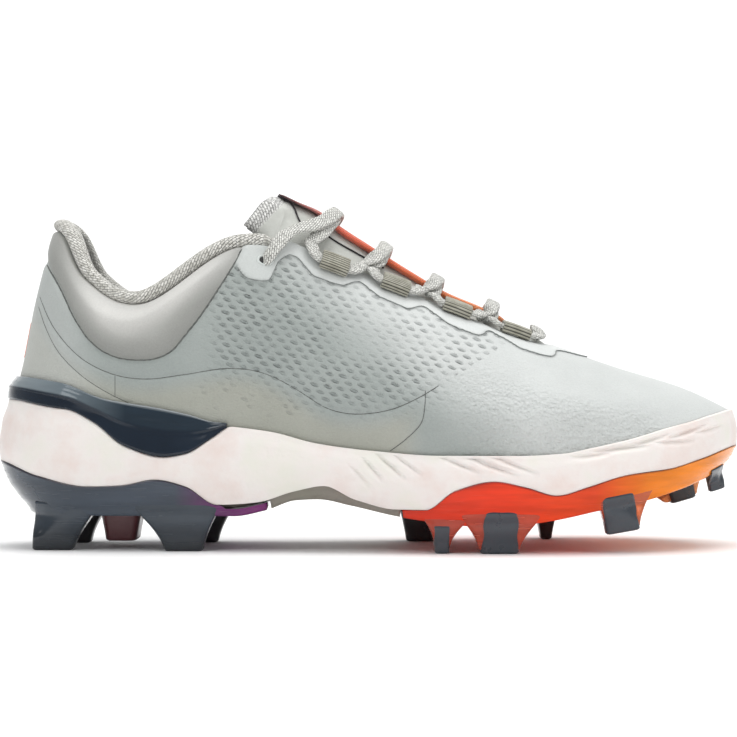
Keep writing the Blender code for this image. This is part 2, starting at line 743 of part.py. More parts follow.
def plate_half(station):
    """One side of a plate's section, from the edge of its floor over the side wall to the edge of its underside."""
    x = ring_at(OUTLINE_POINTS, station)[0]
    corner_inset, corner_z = tray_corner(x)
    top = plate_top(x)
    corner_z = min(corner_z, top - 0.2 * CLEARANCE)
    outside = [
        inside(station, side_inset(x, z), z) for z in (under(x) + (top - under(x)) * share for share in (1, 0.6, 0.25, 0))
    ]
    inner = inside(station, side_inset(x, top) + PLATE_WALL, top)
    return [inside(station, corner_inset, corner_z), inner, *outside]


def make_plates(collection):
    pieces = (
        ("heel_plate", -SHOE_LENGTH / 2, HEEL_PLATE_END, (0.04, 0.07, 0.11)),
        ("forefoot_plate", FORE_PLATE_START, SHOE_LENGTH / 2, (0.85, 0.18, 0.05)),
    )
    for name, low, high, colour in pieces:
        sections = sole_sections(plate_half, rows_between(low, high))
        mesh = loft(name, sections, capped=True, sharp=35)
        add_object(name, mesh, new_material(name, colour, 0.2), collection)


def make_insole(collection):
    """The loose footbed, on the turned-in foot of the upper."""
    lift = 2 * CLEARANCE + UPPER_WALL

    def half(station):
        inset = foot_inset(station) + 2.2 * UPPER_WALL + CLEARANCE
        return [
            bedded(station, inset + 2 * INSOLE_THICKNESS, lift + 0.8 * INSOLE_THICKNESS),
            bedded(station, inset, lift + INSOLE_THICKNESS),
            bedded(station, inset, lift),
        ]

    mesh = loft("insole", sole_sections(half, ROWS), capped=False)
    return add_object("insole", mesh, new_material("insole", (0.10, 0.11, 0.13), 0.85), collection)


def make_heel_clip(collection):
    """The moulded clip, between the midsole's dipped lip and the upper."""
    last = station_at(OUTLINE_POINTS, CLIP_TIP)
    side = [s for s in ROWS if s < last - 0.02] + [last]
    stations = [LOOP_ROWS - s for s in side[:0:-1]] + side
    sections = []
    for station in stations:
        x = ring_at(OUTLINE_POINTS, station)[0]
        direction = outward(station)
        bottom = rim(x) + CLEARANCE
        crest = welt(x) + max(line(CLIP_LINE, x / SHOE_LENGTH, SOLE_DEPTH), 4 * CLEARANCE)
        rise = crest - bottom
        shoulder = min(max(welt(x), bottom + 0.25 * rise), bottom + 0.8 * rise)
        heights = (bottom, shoulder, (shoulder + crest) / 2, crest)
        inner = [outer_face_at(station, z) + direction * 1.5 * CLEARANCE for z in heights]
        outer = []
        for spot, part in zip(inner, (0.0, 0.35, 0.8, 1.0)):
            flush = inside(station, side_inset(x, min(spot[2], welt(x))), spot[2])
            proud = spot + direction * CLIP_WALL
            outer.append(flush * (1 - part) + proud * part)
        sections.append(inner + outer[::-1])
    mesh = loft("heel_clip", sections, capped=True, sharp=45)
    return add_object("heel_clip", mesh, new_material("heel_clip", (0.01, 0.02, 0.04), 0.15), collection)


def tube_sections(points, normals, widths, thicknesses, corners=8):
    """Oval sections along a row of points, one size across the path and the other along the normals."""
    sections = []
    for index, point in enumerate(points):
        before = points[max(index - 1, 0)]
        after = points[min(index + 1, len(points) - 1)]
        ahead = Vector(after - before).normalized()
        normal = Vector(normals[index])
        normal = (normal - normal.dot(ahead) * ahead).normalized()
        across = normal.cross(ahead)
        sections.append([
            Vector(point)
            + across * widths[index] / 2 * math.cos(2 * math.pi * (k + 0.5) / corners)
            + normal * thicknesses[index] / 2 * math.sin(2 * math.pi * (k + 0.5) / corners)
            for k in range(corners)
        ])
    return sections


def make_binding(collection):
    """The rolled edge, along the top of the collar from one end of the throat round the heel to the other."""
    last = station_at(EDGE_POINTS, BINDING_END - 0.010 * SHOE_LENGTH)
    side = [s for s in ROWS if s < last - 0.02] + [last]
    stations = [LOOP_ROWS - s for s in side[:0:-1]] + side
    points, normals, widths = [], [], []
    for station in stations:
        top = WALL.at(WALL.outer, station)[-1]
        normal = WALL.at(WALL.normals, station)[-1]
        upward = WALL.at(WALL.upward, station)[-1]
        edge = ring_at(EDGE_POINTS, station + 0.02) - ring_at(EDGE_POINTS, station - 0.02)
        edge /= np.linalg.norm(edge)
        upward = upward - np.dot(upward, edge) * edge
        upward /= np.linalg.norm(upward)
        wall = top_wall(station) + EYESTAY_STEP
        rise = TOP_ROUND * wall + BINDING_DIAMETER / 2 + 2 * CLEARANCE
        points.append(top - normal * wall / 2 + upward * rise)
        normals.append(normal)
        widths.append(max(wall, BINDING_DIAMETER))
    sections = tube_sections(np.array(points), normals, [BINDING_DIAMETER] * len(points), widths, 7)
    mesh = loft("collar_binding", sections, capped=True)
    return add_object("collar_binding", mesh, new_material("collar_binding", (0.5, 0.5, 0.46), 0.9), collection)


TONGUE_ROWS = (4.30, 4.50, 4.75, 5.0, 5.3, 5.6, 6.0, 6.5, 7.0, 7.5, 8.0, 8.6, 9.3, 10.0)
TONGUE_SPREAD = range(9)  # columns across: lap, middle of the lap, edge, shoulder, crown, and back
CROWN_COLUMN = 4
STRIP_START = 0.4  # the row of the tongue where its strip begins


def crown_at(row):
    """The tongue's crown for a row of the throat's edge."""
    x = line([(entry[0], entry[1]) for entry in TONGUE_CROWN], row, SHOE_LENGTH)
    z = line([(entry[0], entry[2]) for entry in TONGUE_CROWN], row, INSTEP_HEIGHT)
    return np.array([x, 0.0, footbed(0.0) + z])


def under_edge(station, depth):
    """A point just inside the upper, this far down from its edge."""
    inner = WALL.at(WALL.inner, station)
    normal = WALL.at(WALL.normals, station)[-1]
    return along(inner[::-1], depth) - normal * 1.6 * CLEARANCE


def tongue_rows():
    """Sections of the tongue's outer face, from its free end to its foot under the vamp."""
    sections = []
    for crown_x, crown_z, side_x, side_z, half in TONGUE_TOP[::-1]:
        base = footbed(0.0)
        crown = np.array([crown_x * SHOE_LENGTH, 0.0, base + crown_z * INSTEP_HEIGHT])
        ends = [
            np.array([side_x * SHOE_LENGTH, side * half * WAIST_WIDTH, base + side_z * INSTEP_HEIGHT]) for side in (-1, 1)
        ]
        sections.append(across_tongue(ends[0], None, crown, None, ends[1]))
    for row in TONGUE_ROWS:
        outer, inner = row, LOOP_ROWS - row
        crown = crown_at(row)
        if row == LOOP_ROWS / 2:
            crown = under_edge(outer, 0.0)
        sections.append(
            across_tongue(
                under_edge(outer, TONGUE_LAP), under_edge(outer, 0.0), crown, under_edge(inner, 0.0), under_edge(inner, TONGUE_LAP)
            )
        )
    return sections


def across_tongue(first, first_edge, crown, last_edge, last):
    """Points across the tongue, through its two laps, the two edges of the throat and the crown."""
    spots = [spot for spot in (first, first_edge, crown, last_edge, last) if spot is not None]
    if len(spots) == 3:
        rise = 0.75
        first_edge = first * (1 - rise) + crown * rise
        last_edge = last * (1 - rise) + crown * rise
        first_edge[1] = first[1] * 0.72
        last_edge[1] = last[1] * 0.72
        spots = [first, first_edge, crown, last_edge, last]
    if np.allclose(spots[1], spots[3]):
        return [spots[0], spots[0] * 0.5 + spots[1] * 0.5] + [spots[1]] * 5 + [spots[4] * 0.5 + spots[3] * 0.5, spots[4]]
    arch = through([spots[1], crown, spots[3]], 8)
    total = length_of(arch)
    middle = [along(arch, total * share) for share in (0.0, 0.17, 0.5, 0.83, 1.0)]
    return [spots[0], (spots[0] + spots[1]) / 2] + middle + [(spots[3] + spots[4]) / 2, spots[4]]


def grid_normals(grid):
    along_rows = np.gradient(grid, axis=0)
    across = np.gradient(grid, axis=1)
    normals = np.cross(along_rows, across)
    lengths = np.linalg.norm(normals, axis=2)[:, :, None]
    return normals / np.maximum(lengths, 1e-9)


class TongueFace:
    """The tongue's outer face and its directions, read by row and by column across."""

    def __init__(self):
        self.grid = np.array(tongue_rows())
        self.normals = grid_normals(self.grid)
        self.normals[-1] = self.normals[-2]
        if self.normals[5, CROWN_COLUMN][2] < 0:
            self.normals = -self.normals

    def row_of(self, x):
        """The row whose sides lie at the throat's edge at x."""
        station = station_at(EDGE_POINTS, x)
        return float(np.interp(station, TONGUE_ROWS, range(len(TONGUE_TOP), len(TONGUE_TOP) + len(TONGUE_ROWS))))

    def at(self, row, column):
        """Point and outward direction at a row and a column, both between whole numbers."""
        values = []
        for array in (self.grid, self.normals):
            r, c = min(int(row), len(self.grid) - 2), min(int(column), len(TONGUE_SPREAD) - 2)
            s, t = row - r, column - c
            near = array[r, c] * (1 - t) + array[r, c + 1] * t
            far = array[r + 1, c] * (1 - t) + array[r + 1, c + 1] * t
            values.append(near * (1 - s) + far * s)
        return values[0], values[1] / np.linalg.norm(values[1])


def make_tongue(collection, face):
    """The padded tongue, with its laps under the eyestays."""
    lower = face.grid - face.normals * TONGUE_THICKNESS
    sections = [list(row) + list(below[::-1]) for row, below in zip(face.grid, lower)]
    mesh = loft("tongue", sections, capped=True, sharp=50)
    add_object("tongue", mesh, new_material("tongue", (0.62, 0.64, 0.62), 0.85), collection)


def make_strip(collection, face):
    """The coloured strip along the crown of the tongue."""
    sections = []
    end = face.row_of(LOOP_XS[-1])
    for row in [STRIP_START, *range(1, math.ceil(end)), end]:
        crown, normal = face.at(row, CROWN_COLUMN)
        side, _ = face.at(row, CROWN_COLUMN - 1)
        reach = STRIP_WIDTH / 2 / np.linalg.norm(side - crown)
        base = []
        for share in (-1, 0, 1):
            spot, way = face.at(row, CROWN_COLUMN + share * reach)
            base.append(spot + way * 5 * CLEARANCE)
        top = [spot + normal * STRIP_THICKNESS for spot in base]
        sections.append(base + top[::-1])
    mesh = loft("tongue_strip", sections, capped=True, sharp=30)
    add_object("tongue_strip", mesh, new_material("tongue_strip", (0.85, 0.16, 0.07), 0.7), collection)


def loop_place(x, side):
    """A lace loop's middle on the eyestay, the direction of its tunnel, and outward."""
    point, ahead, normal = on_band(x, side, 0.25 * EYESTAY_WIDTH)
    height = LACE_THICKNESS + 2 * LOOP_WALL + 2 * CLEARANCE
    return point + normal * (2.5 * CLEARANCE + height / 2), ahead, normal, height


def make_lace_loops(collection):
    """The webbing loops: short flat tunnels along the eyestays."""
    for side, word in ((-1, "lateral"), (1, "medial")):
        for number, x in enumerate(LOOP_XS, 1):
            point, ahead, normal, height = loop_place(x, side)
            across = normal.cross(ahead)
            rings = []
            for wall, end in ((0, 1), (0, -1), (LOOP_WALL, -1), (LOOP_WALL, 1)):
                ring = []
                for step in range(8):
                    angle = 2 * math.pi * (step + 0.5) / 8
                    wide, tall = math.cos(angle), math.sin(angle)
                    stretch = max(abs(wide), abs(tall)) ** -0.7
                    ring.append(
                        point
                        + ahead * end * LOOP_LENGTH / 2
                        + across * wide * stretch * (LOOP_WIDTH / 2 - wall)
                        + normal * tall * stretch * (height / 2 - wall)
                    )
                rings.append(ring)
            name = f"lace_loop_{word}_{number}"
            mesh = loft(name, rings, closed=True, sharp=35)
            add_object(name, mesh, new_material(name, (0.33, 0.34, 0.29), 0.85), collection)


def over_edge(x, side):
    """A point where a lace passes over the throat's edge, and the direction away from the edge."""
    station = station_at(EDGE_POINTS, x)
    if side > 0:
        station = LOOP_ROWS - station
    top = WALL.at(WALL.outer, station)[-1]
    normal, upward = WALL.at(WALL.normals, station)[-1], WALL.at(WALL.upward, station)[-1]
    away = normal + upward
    away /= np.linalg.norm(away)
    rise = TOP_ROUND * top_wall(station) + LACE_THICKNESS / 2 + 6 * CLEARANCE
    return top + away * rise, away


def mouth(x, side, end):
    """Just outside one end of a lace loop, or beside the eyelet at the top: point, way out and outward."""
    if x == EYELET_X:
        point, ahead, normal = on_band(EYELET_X + EYELET_LENGTH, side, 0.40 * EYESTAY_WIDTH)
        point = point + normal * (LACE_THICKNESS / 2 + 3 * CLEARANCE)
        return np.array(point), np.array(ahead), np.array(normal)
    point, ahead, normal, _ = loop_place(x, side)
    point = point + ahead * end * (LOOP_LENGTH / 2 + 3 * CLEARANCE)
    return np.array(point), np.array(ahead * end), np.array(normal)


TOE_STUDS = 0.40  # studs further forward than this share of the length stand under the toe's rounding
LACE_TURN = 0.64 * LACE_WIDTH  # radius of a lace's turn out of the mouth of a loop


def lace_turn(start, out, way, spot):
    """Points of a lace's turn, from the mouth of a loop toward the place where it passes the throat's edge."""
    toward = spot - start
    for direction in (out, way):
        toward = toward - np.dot(toward, direction) * direction
    toward /= np.linalg.norm(toward)
    points = []
    for share in (0.0, 0.33, 0.67, 1.0):
        angle = share * math.radians(70)
        sweep = out * math.sin(angle) + toward * (1 - math.cos(angle))
        points.append(start + sweep * LACE_TURN + way * 2 * CLEARANCE * share)
    return points


def lace_band(face, first, last, lift=0.0):
    """Sections of one lace from a mouth on one side, over the crown, to a mouth on the other."""
    (x_first, side, end_first), (x_last, _, end_last) = first, last
    ends = []
    for x, edge_side, end in ((x_first, side, end_first), (x_last, -side, end_last)):
        spot, out, way = mouth(x, edge_side, end)
        over, over_way = over_edge(spot[0] + end * 1.15 * LACE_TURN, edge_side)
        turn = lace_turn(spot, out, way, over)
        ends.append((turn + [over], [way] * len(turn) + [over_way]))
    points, ways = list(ends[0][0]), list(ends[0][1])
    near_x, far_x = points[-1][0], ends[1][0][-1][0]
    columns = (3.3, 4.0, 4.7)
    for share, column in zip((0.30, 0.5, 0.70), columns if side < 0 else columns[::-1]):
        point, normal = face.at(face.row_of(near_x * (1 - share) + far_x * share), column)
        proud = STRIP_THICKNESS + 5 * CLEARANCE + lift * LACE_THICKNESS
        points.append(point + normal * (LACE_THICKNESS / 2 + 2 * CLEARANCE + proud))
        ways.append(normal)
    points += ends[1][0][::-1]
    ways += ends[1][1][::-1]
    squeezed = [0.80, 0.72, 0.74, 0.85, 0.96]
    shares = squeezed + [1.0] * len(columns) + squeezed[::-1]
    widths = [LACE_WIDTH * math.sqrt(2) * share for share in shares]
    return tube_sections(np.array(points), ways, widths, [LACE_THICKNESS * math.sqrt(2)] * len(points), 4)


def make_laces(collection, cutters, face):
    """The four crossings of the lace, each two bands joined over the tongue, and the bar at the throat's end."""
    material = new_material("lace", (0.62, 0.62, 0.58), 0.85)
    xs = (EYELET_X, *LOOP_XS)
    for number, (rear, front) in enumerate(zip(xs, xs[1:]), 1):
        name = f"lace_crossing_{number}"
        bands = [lace_band(face, (rear, side, 1), (front, -side, -1), lift) for side, lift in ((-1, 0.4), (1, 0.0))]
        crossing = add_object(name, loft(name, bands[0], sharp=50), material, collection)
        other = add_object(name + "_second", loft(name + "_second", bands[1], sharp=50), material, cutters)
        other.hide_render = True
        other.display_type = "WIRE"
        join = crossing.modifiers.new("join", "BOOLEAN")
        join.operation = "UNION"
        join.object = other
    last = LOOP_XS[-1]
    bar = lace_band(face, (last, -1, 1), (last, 1, 1))
    add_object("lace_bar", loft("lace_bar", bar, sharp=50), material, collection)


def stud_seat(stud, x, reach, half_width):
    """The y of a stud just inside the edge of the plate's underside, and the underside's height there.

    At the toe that edge rounds off in front of the stud, and the underside lifts with the edge.
    """
    station = station_at(OUTLINE_POINTS, x + reach + flare(x) if stud.reach else x)
    outer, inner = ring_at(OUTLINE_POINTS, station)[1], ring_at(OUTLINE_POINTS, LOOP_ROWS - station)[1]
    tuck = half_width + (0.0 if stud.reach else flare(x))
    y = {-1: outer + tuck, 0: (outer + inner) / 2, 1: inner - tuck}[stud.side]
    lifted = 0.8 * flare(x) * outward(station)[0] if stud.x > TOE_STUDS else 0.0
    return y, under(x + lifted)


def make_studs(collection):
    """The studs under both plates, each a chamfered block that narrows to its foot."""
    for stud in STUDS:
        x = stud.x * SHOE_LENGTH
        top_size = (stud.top_length * SHOE_LENGTH / 2, stud.top_width * BALL_WIDTH / 2)
        foot_size = (stud.foot_length * SHOE_LENGTH / 2, stud.foot_width * BALL_WIDTH / 2)
        reach = top_size[0]
        y, seat = stud_seat(stud, x, reach, top_size[1])
        slope = math.atan2(under(x + reach) - under(x - reach), 2 * reach) if stud.reach else 0.0
        if stud.reach:
            top_z, length = seat - 1.6 * CLEARANCE, stud.reach * STUD_HEIGHT
        else:
            top_z = min(under(x + share * reach) for share in (-1, -0.5, 0, 0.5, 1)) - CLEARANCE
            length = top_z
        chamfer = 0.06 * STUD_HEIGHT
        levels = (
            (-length, foot_size[0] - chamfer, foot_size[1] - chamfer),
            (-length + chamfer, foot_size[0], foot_size[1]),
            (0.0, *top_size),
        )
        turn = Matrix.Rotation(-slope, 4, "Y")
        sections = []
        for z, half_length, half_width in levels:
            corner = 0.3 * min(half_length, half_width)
            spots = [
                (sx * (half_length - (corner if first else 0)), sy * (half_width - (0 if first else corner)))
                for sx, sy, order in ((1, 1, (0, 1)), (-1, 1, (1, 0)), (-1, -1, (0, 1)), (1, -1, (1, 0)))
                for first in order
            ]
            sections.append([Vector((x, y, top_z)) + turn @ Vector((a, b, z)) for a, b in spots])
        mesh = loft(stud.name, sections, sharp=25)
        colour = (0.03, 0.04, 0.07)
        add_object(stud.name, mesh, new_material(stud.name, colour, 0.35), collection)


def start_scene():
    for old in list(bpy.data.objects):
        bpy.data.objects.remove(old, do_unlink=True)
    collections = []
    for name in ("baseball_cleat", "cutters"):
        collection = bpy.data.collections.new(name)
        bpy.context.scene.collection.children.link(collection)
        collections.append(collection)
    return collections


def main():
    cleat, cutters = start_scene()
    make_upper(cleat, cutters)
    make_binding(cleat)
    face = TongueFace()
    make_tongue(cleat, face)
    make_strip(cleat, face)
    make_insole(cleat)
    make_midsole(cleat)
    make_heel_clip(cleat)
    make_plates(cleat)
    make_studs(cleat)
    make_lace_loops(cleat)
    make_laces(cleat, cutters, face)


main()
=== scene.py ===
"""A right baseball cleat, dressed: upper, collar, tongue, laces, sculpted sole, plates and studs, in metres.

The forms are worked out again from the same named sizes, tables and rings as the solids, with finer stations.
Details on the sides are charted as an onlooker sees them, level from the outer side, and thrown
onto the surface.
"""

import math
from typing import NamedTuple

import bpy
import numpy as np
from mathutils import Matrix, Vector
from mathutils.bvhtree import BVHTree
from mathutils.noise import noise


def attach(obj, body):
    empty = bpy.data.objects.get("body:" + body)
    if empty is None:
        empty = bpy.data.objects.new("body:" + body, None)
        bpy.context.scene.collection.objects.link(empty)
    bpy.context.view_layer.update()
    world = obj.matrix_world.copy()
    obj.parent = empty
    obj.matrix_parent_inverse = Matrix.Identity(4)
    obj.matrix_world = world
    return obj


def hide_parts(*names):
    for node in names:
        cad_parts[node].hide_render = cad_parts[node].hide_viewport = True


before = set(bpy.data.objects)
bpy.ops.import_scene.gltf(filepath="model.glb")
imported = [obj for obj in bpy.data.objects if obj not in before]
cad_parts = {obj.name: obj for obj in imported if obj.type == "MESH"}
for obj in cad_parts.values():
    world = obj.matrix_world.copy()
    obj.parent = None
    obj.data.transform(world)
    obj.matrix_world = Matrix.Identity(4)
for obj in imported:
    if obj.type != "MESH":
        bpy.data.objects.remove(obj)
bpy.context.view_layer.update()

MM = 0.001

# Size of the whole shoe
SHOE_LENGTH = 0.300
BALL_WIDTH = 0.106
WAIST_WIDTH = 0.074
HEEL_WIDTH = 0.073
STUD_HEIGHT = 0.014
SOLE_DEPTH = 0.045
HEEL_HEIGHT = 0.098
INSTEP_HEIGHT = 0.085
VAMP_HEIGHT = 0.055
TOE_HEIGHT = 0.030

# Walls and clearances
CLEARANCE = 0.0003
UPPER_WALL = 0.0022
COLLAR_WALL = 0.0075
EYESTAY_STEP = 0.0006
COLLAR_BULGE = 0.0034
BINDING_DIAMETER = 0.0050
LIP_WALL = 0.0018
SOLE_FLARE = 0.0060
HEEL_FLARE = 0.0124
LASTING_TURN = 0.0070
INSOLE_THICKNESS = 0.0035
PLATE_FLOOR = 0.0030
PLATE_WALL = 0.0020
PLATE_END_GAP = 0.0016
CLIP_WALL = 0.0022
TONGUE_THICKNESS = 0.0052
TONGUE_LAP = 0.012
STRIP_WIDTH = 0.013
STRIP_THICKNESS = 0.0009
COLLAR_DEPTH = 0.033
EYESTAY_WIDTH = 0.013
LACE_WIDTH = 0.0059
LACE_THICKNESS = 0.0021
LOOP_LENGTH = 0.0115
LOOP_WIDTH = 0.0076
LOOP_WALL = 0.0008
LOOP_TUNNEL = 0.0014 + 2 * CLEARANCE
EYELET_LENGTH = 0.0044
EYELET_WIDTH = 0.0026
TOP_ROUND = 0.25
LIP_ROUND = 0.0009
PLATE_BEAD = 0.00035
PLATE_ROUND = 0.0008
CLIP_LEDGE = 0.0005
STRIP_RISE = 0.0031
PIPING_WIDTH = 0.0006
PIPING_HEIGHT = 0.0008
SEAM_HEIGHT = 0.0005
OVERLAY_LINE_WIDTH = 0.00034
OVERLAY_LINE_HEIGHT = 0.00044
TAPE_LOW = 0.0765
TAPE_HIGH = 0.0905
TAPE_HALF = 0.0026
TAPE_WALL = 0.0004
TAPE_RISE = 0.00035
FOOT_DRAW = 0.4 * UPPER_WALL
LOOP_DEPTH = 0.33 * EYESTAY_WIDTH
EYELET_DEPTH = 0.45 * EYESTAY_WIDTH

# Counts of stations and levels, and the shapes of sections
STATIONS = 340
LEVELS = 116
LOOP_ROWS = 20
SIDE_LEVELS = 92
CLIP_LEVELS = 16
TONGUE_STEPS = 10
HALF_TURN = LOOP_ROWS / 2
SIDES = ((-1, "lateral"), (1, "medial"))
STUD_CORNERS = 44
STUD_SQUARE = 0.34
STUD_CHAMFER = 0.0009


class OutlineRow(NamedTuple):
    """A point pair of the sole's outline: x in shoe lengths, the sides in shares of the row's own width."""

    x: float
    lateral: float
    medial: float
    width: float


class RingRow(NamedTuple):
    """A point pair of a ring of the upper: z in shares of the row's own height, above the footbed."""

    x: float
    z: float
    lateral: float
    medial: float
    height: float
    width: float


OUTLINE = (
    OutlineRow(-0.500, 0.00, 0.00, HEEL_WIDTH),
    OutlineRow(-0.479, 0.28, 0.26, HEEL_WIDTH),
    OutlineRow(-0.417, 0.46, 0.43, HEEL_WIDTH),
    OutlineRow(-0.317, 0.51, 0.48, HEEL_WIDTH),
    OutlineRow(-0.183, 0.53, 0.45, WAIST_WIDTH),
    OutlineRow(-0.033, 0.60, 0.45, WAIST_WIDTH),
    OutlineRow(0.117, 0.48, 0.41, BALL_WIDTH),
    OutlineRow(0.250, 0.49, 0.50, BALL_WIDTH),
    OutlineRow(0.373, 0.41, 0.48, BALL_WIDTH),
    OutlineRow(0.460, 0.23, 0.35, BALL_WIDTH),
    OutlineRow(0.500, -0.06, 0.06, BALL_WIDTH),
)
MID_RING = (
    RingRow(-0.468, 0.40, 0.00, 0.00, HEEL_HEIGHT, HEEL_WIDTH),
    RingRow(-0.448, 0.38, 0.25, 0.23, HEEL_HEIGHT, HEEL_WIDTH),
    RingRow(-0.393, 0.35, 0.41, 0.38, HEEL_HEIGHT, HEEL_WIDTH),
    RingRow(-0.310, 0.32, 0.46, 0.43, HEEL_HEIGHT, HEEL_WIDTH),
    RingRow(-0.180, 0.38, 0.49, 0.43, INSTEP_HEIGHT, WAIST_WIDTH),
    RingRow(-0.030, 0.39, 0.58, 0.46, INSTEP_HEIGHT, WAIST_WIDTH),
    RingRow(0.120, 0.52, 0.46, 0.42, VAMP_HEIGHT, BALL_WIDTH),
    RingRow(0.253, 0.54, 0.43, 0.46, VAMP_HEIGHT, BALL_WIDTH),
    RingRow(0.355, 0.97, 0.31, 0.40, TOE_HEIGHT, BALL_WIDTH),
    RingRow(0.415, 0.92, 0.14, 0.26, TOE_HEIGHT, BALL_WIDTH),
    RingRow(0.430, 0.90, -0.06, 0.06, TOE_HEIGHT, BALL_WIDTH),
)
HIGH_RING = (
    RingRow(-0.449, 0.69, 0.00, 0.00, HEEL_HEIGHT, HEEL_WIDTH),
    RingRow(-0.433, 0.69, 0.22, 0.21, HEEL_HEIGHT, HEEL_WIDTH),
    RingRow(-0.387, 0.63, 0.38, 0.36, HEEL_HEIGHT, HEEL_WIDTH),
    RingRow(-0.310, 0.54, 0.43, 0.40, HEEL_HEIGHT, HEEL_WIDTH),
    RingRow(-0.177, 0.72, 0.45, 0.41, INSTEP_HEIGHT, WAIST_WIDTH),
    RingRow(-0.020, 0.73, 0.46, 0.42, INSTEP_HEIGHT, WAIST_WIDTH),
    RingRow(0.127, 1.03, 0.29, 0.30, VAMP_HEIGHT, BALL_WIDTH),
    RingRow(0.237, 0.90, 0.25, 0.27, VAMP_HEIGHT, BALL_WIDTH),
    RingRow(0.312, 0.79, 0.16, 0.21, VAMP_HEIGHT, BALL_WIDTH),
    RingRow(0.334, 0.77, 0.06, 0.12, VAMP_HEIGHT, BALL_WIDTH),
    RingRow(0.338, 0.77, -0.03, 0.03, VAMP_HEIGHT, BALL_WIDTH),
)
EDGE_RING = (
    RingRow(-0.422, 1.00, 0.00, 0.00, HEEL_HEIGHT, HEEL_WIDTH),
    RingRow(-0.405, 0.97, 0.20, 0.18, HEEL_HEIGHT, HEEL_WIDTH),
    RingRow(-0.368, 0.79, 0.34, 0.32, HEEL_HEIGHT, HEEL_WIDTH),
    RingRow(-0.290, 0.69, 0.40, 0.37, HEEL_HEIGHT, HEEL_WIDTH),
    RingRow(-0.167, 1.09, 0.33, 0.31, INSTEP_HEIGHT, WAIST_WIDTH),
    RingRow(-0.033, 0.98, 0.21, 0.21, INSTEP_HEIGHT, WAIST_WIDTH),
    RingRow(0.093, 0.83, 0.16, 0.17, INSTEP_HEIGHT, WAIST_WIDTH),
    RingRow(0.183, 1.09, 0.10, 0.11, VAMP_HEIGHT, BALL_WIDTH),
    RingRow(0.227, 1.02, 0.07, 0.09, VAMP_HEIGHT, BALL_WIDTH),
    RingRow(0.242, 1.00, 0.02, 0.05, VAMP_HEIGHT, BALL_WIDTH),
    RingRow(0.245, 1.00, -0.014, 0.014, VAMP_HEIGHT, BALL_WIDTH),
)

# Lines of heights along the shoe: x in shoe lengths, height in SOLE_DEPTH above the heel plate's flat
WELT_LINE = (
    (-0.50, 1.02), (-0.42, 0.95), (-0.35, 0.90), (-0.27, 0.84), (-0.19, 0.79), (-0.13, 0.74),
    (-0.07, 0.64), (0.00, 0.58), (0.09, 0.54), (0.19, 0.54), (0.25, 0.56), (0.29, 0.61),
    (0.34, 0.68), (0.39, 0.77), (0.43, 0.83), (0.46, 0.88), (0.50, 0.92),
)
CLIP_DIP = (
    (-0.50, 0.00), (-0.40, 0.00), (-0.36, 0.09), (-0.32, 0.26), (-0.275, 0.32), (-0.24, 0.27),
    (-0.205, 0.11), (-0.18, 0.00), (0.50, 0.00),
)
WAVE_LINE = (
    (-0.50, 0.47), (-0.44, 0.35), (-0.37, 0.26), (-0.325, 0.27), (-0.28, 0.32), (-0.24, 0.26),
    (-0.20, 0.10), (-0.15, 0.12), (-0.10, 0.22), (-0.06, 0.27), (-0.02, 0.15), (0.03, 0.07),
    (0.07, 0.07), (0.11, 0.24), (0.16, 0.32), (0.20, 0.27), (0.24, 0.20), (0.28, 0.27),
    (0.33, 0.37), (0.39, 0.42), (0.43, 0.49), (0.50, 0.60),
)
UNDER_LINE = (
    (-0.50, 0.00), (-0.18, 0.00), (-0.14, 0.05), (-0.10, 0.14), (-0.07, 0.15), (-0.03, 0.10),
    (0.03, 0.01), (0.07, -0.03), (0.13, -0.07), (0.19, -0.06), (0.24, -0.02), (0.30, 0.06),
    (0.36, 0.13), (0.43, 0.25), (0.46, 0.31), (0.50, 0.38),
)
FOOTBED_LINE = (
    (-0.50, 0.47), (-0.30, 0.47), (-0.17, 0.43), (0.00, 0.33), (0.13, 0.27), (0.20, 0.26),
    (0.30, 0.31), (0.40, 0.44), (0.50, 0.62),
)
CLIP_LINE = (
    (-0.50, 0.20), (-0.43, 0.21), (-0.35, 0.12), (-0.28, 0.10), (-0.24, 0.07), (-0.19, 0.01), (0.50, 0.00),
)
SIDE_TUCK = ((0.00, 1.00), (0.17, 0.56), (0.28, 0.29), (0.44, 0.07), (0.58, 0.00), (0.80, 0.08), (1.00, 0.30))

PLATE_TAIL = -0.190 * SHOE_LENGTH
HEEL_PLATE_END = -0.137 * SHOE_LENGTH
FORE_PLATE_START = 0.040 * SHOE_LENGTH
CLIP_TIP = -0.187 * SHOE_LENGTH
BINDING_END = -0.120 * SHOE_LENGTH
EYELET_X = -0.136 * SHOE_LENGTH
COLLAR_FRONT = -0.130 * SHOE_LENGTH
COLLAR_FADE = 0.060 * SHOE_LENGTH
BINDING_FADE = 0.010 * SHOE_LENGTH
OVERLAY_REAR = -0.168 * SHOE_LENGTH
FLARE_FRONT = -0.380 * SHOE_LENGTH
FLARE_FADE = 0.120 * SHOE_LENGTH
LOOP_XS = tuple(share * SHOE_LENGTH for share in (-0.052, 0.026, 0.105, 0.180))

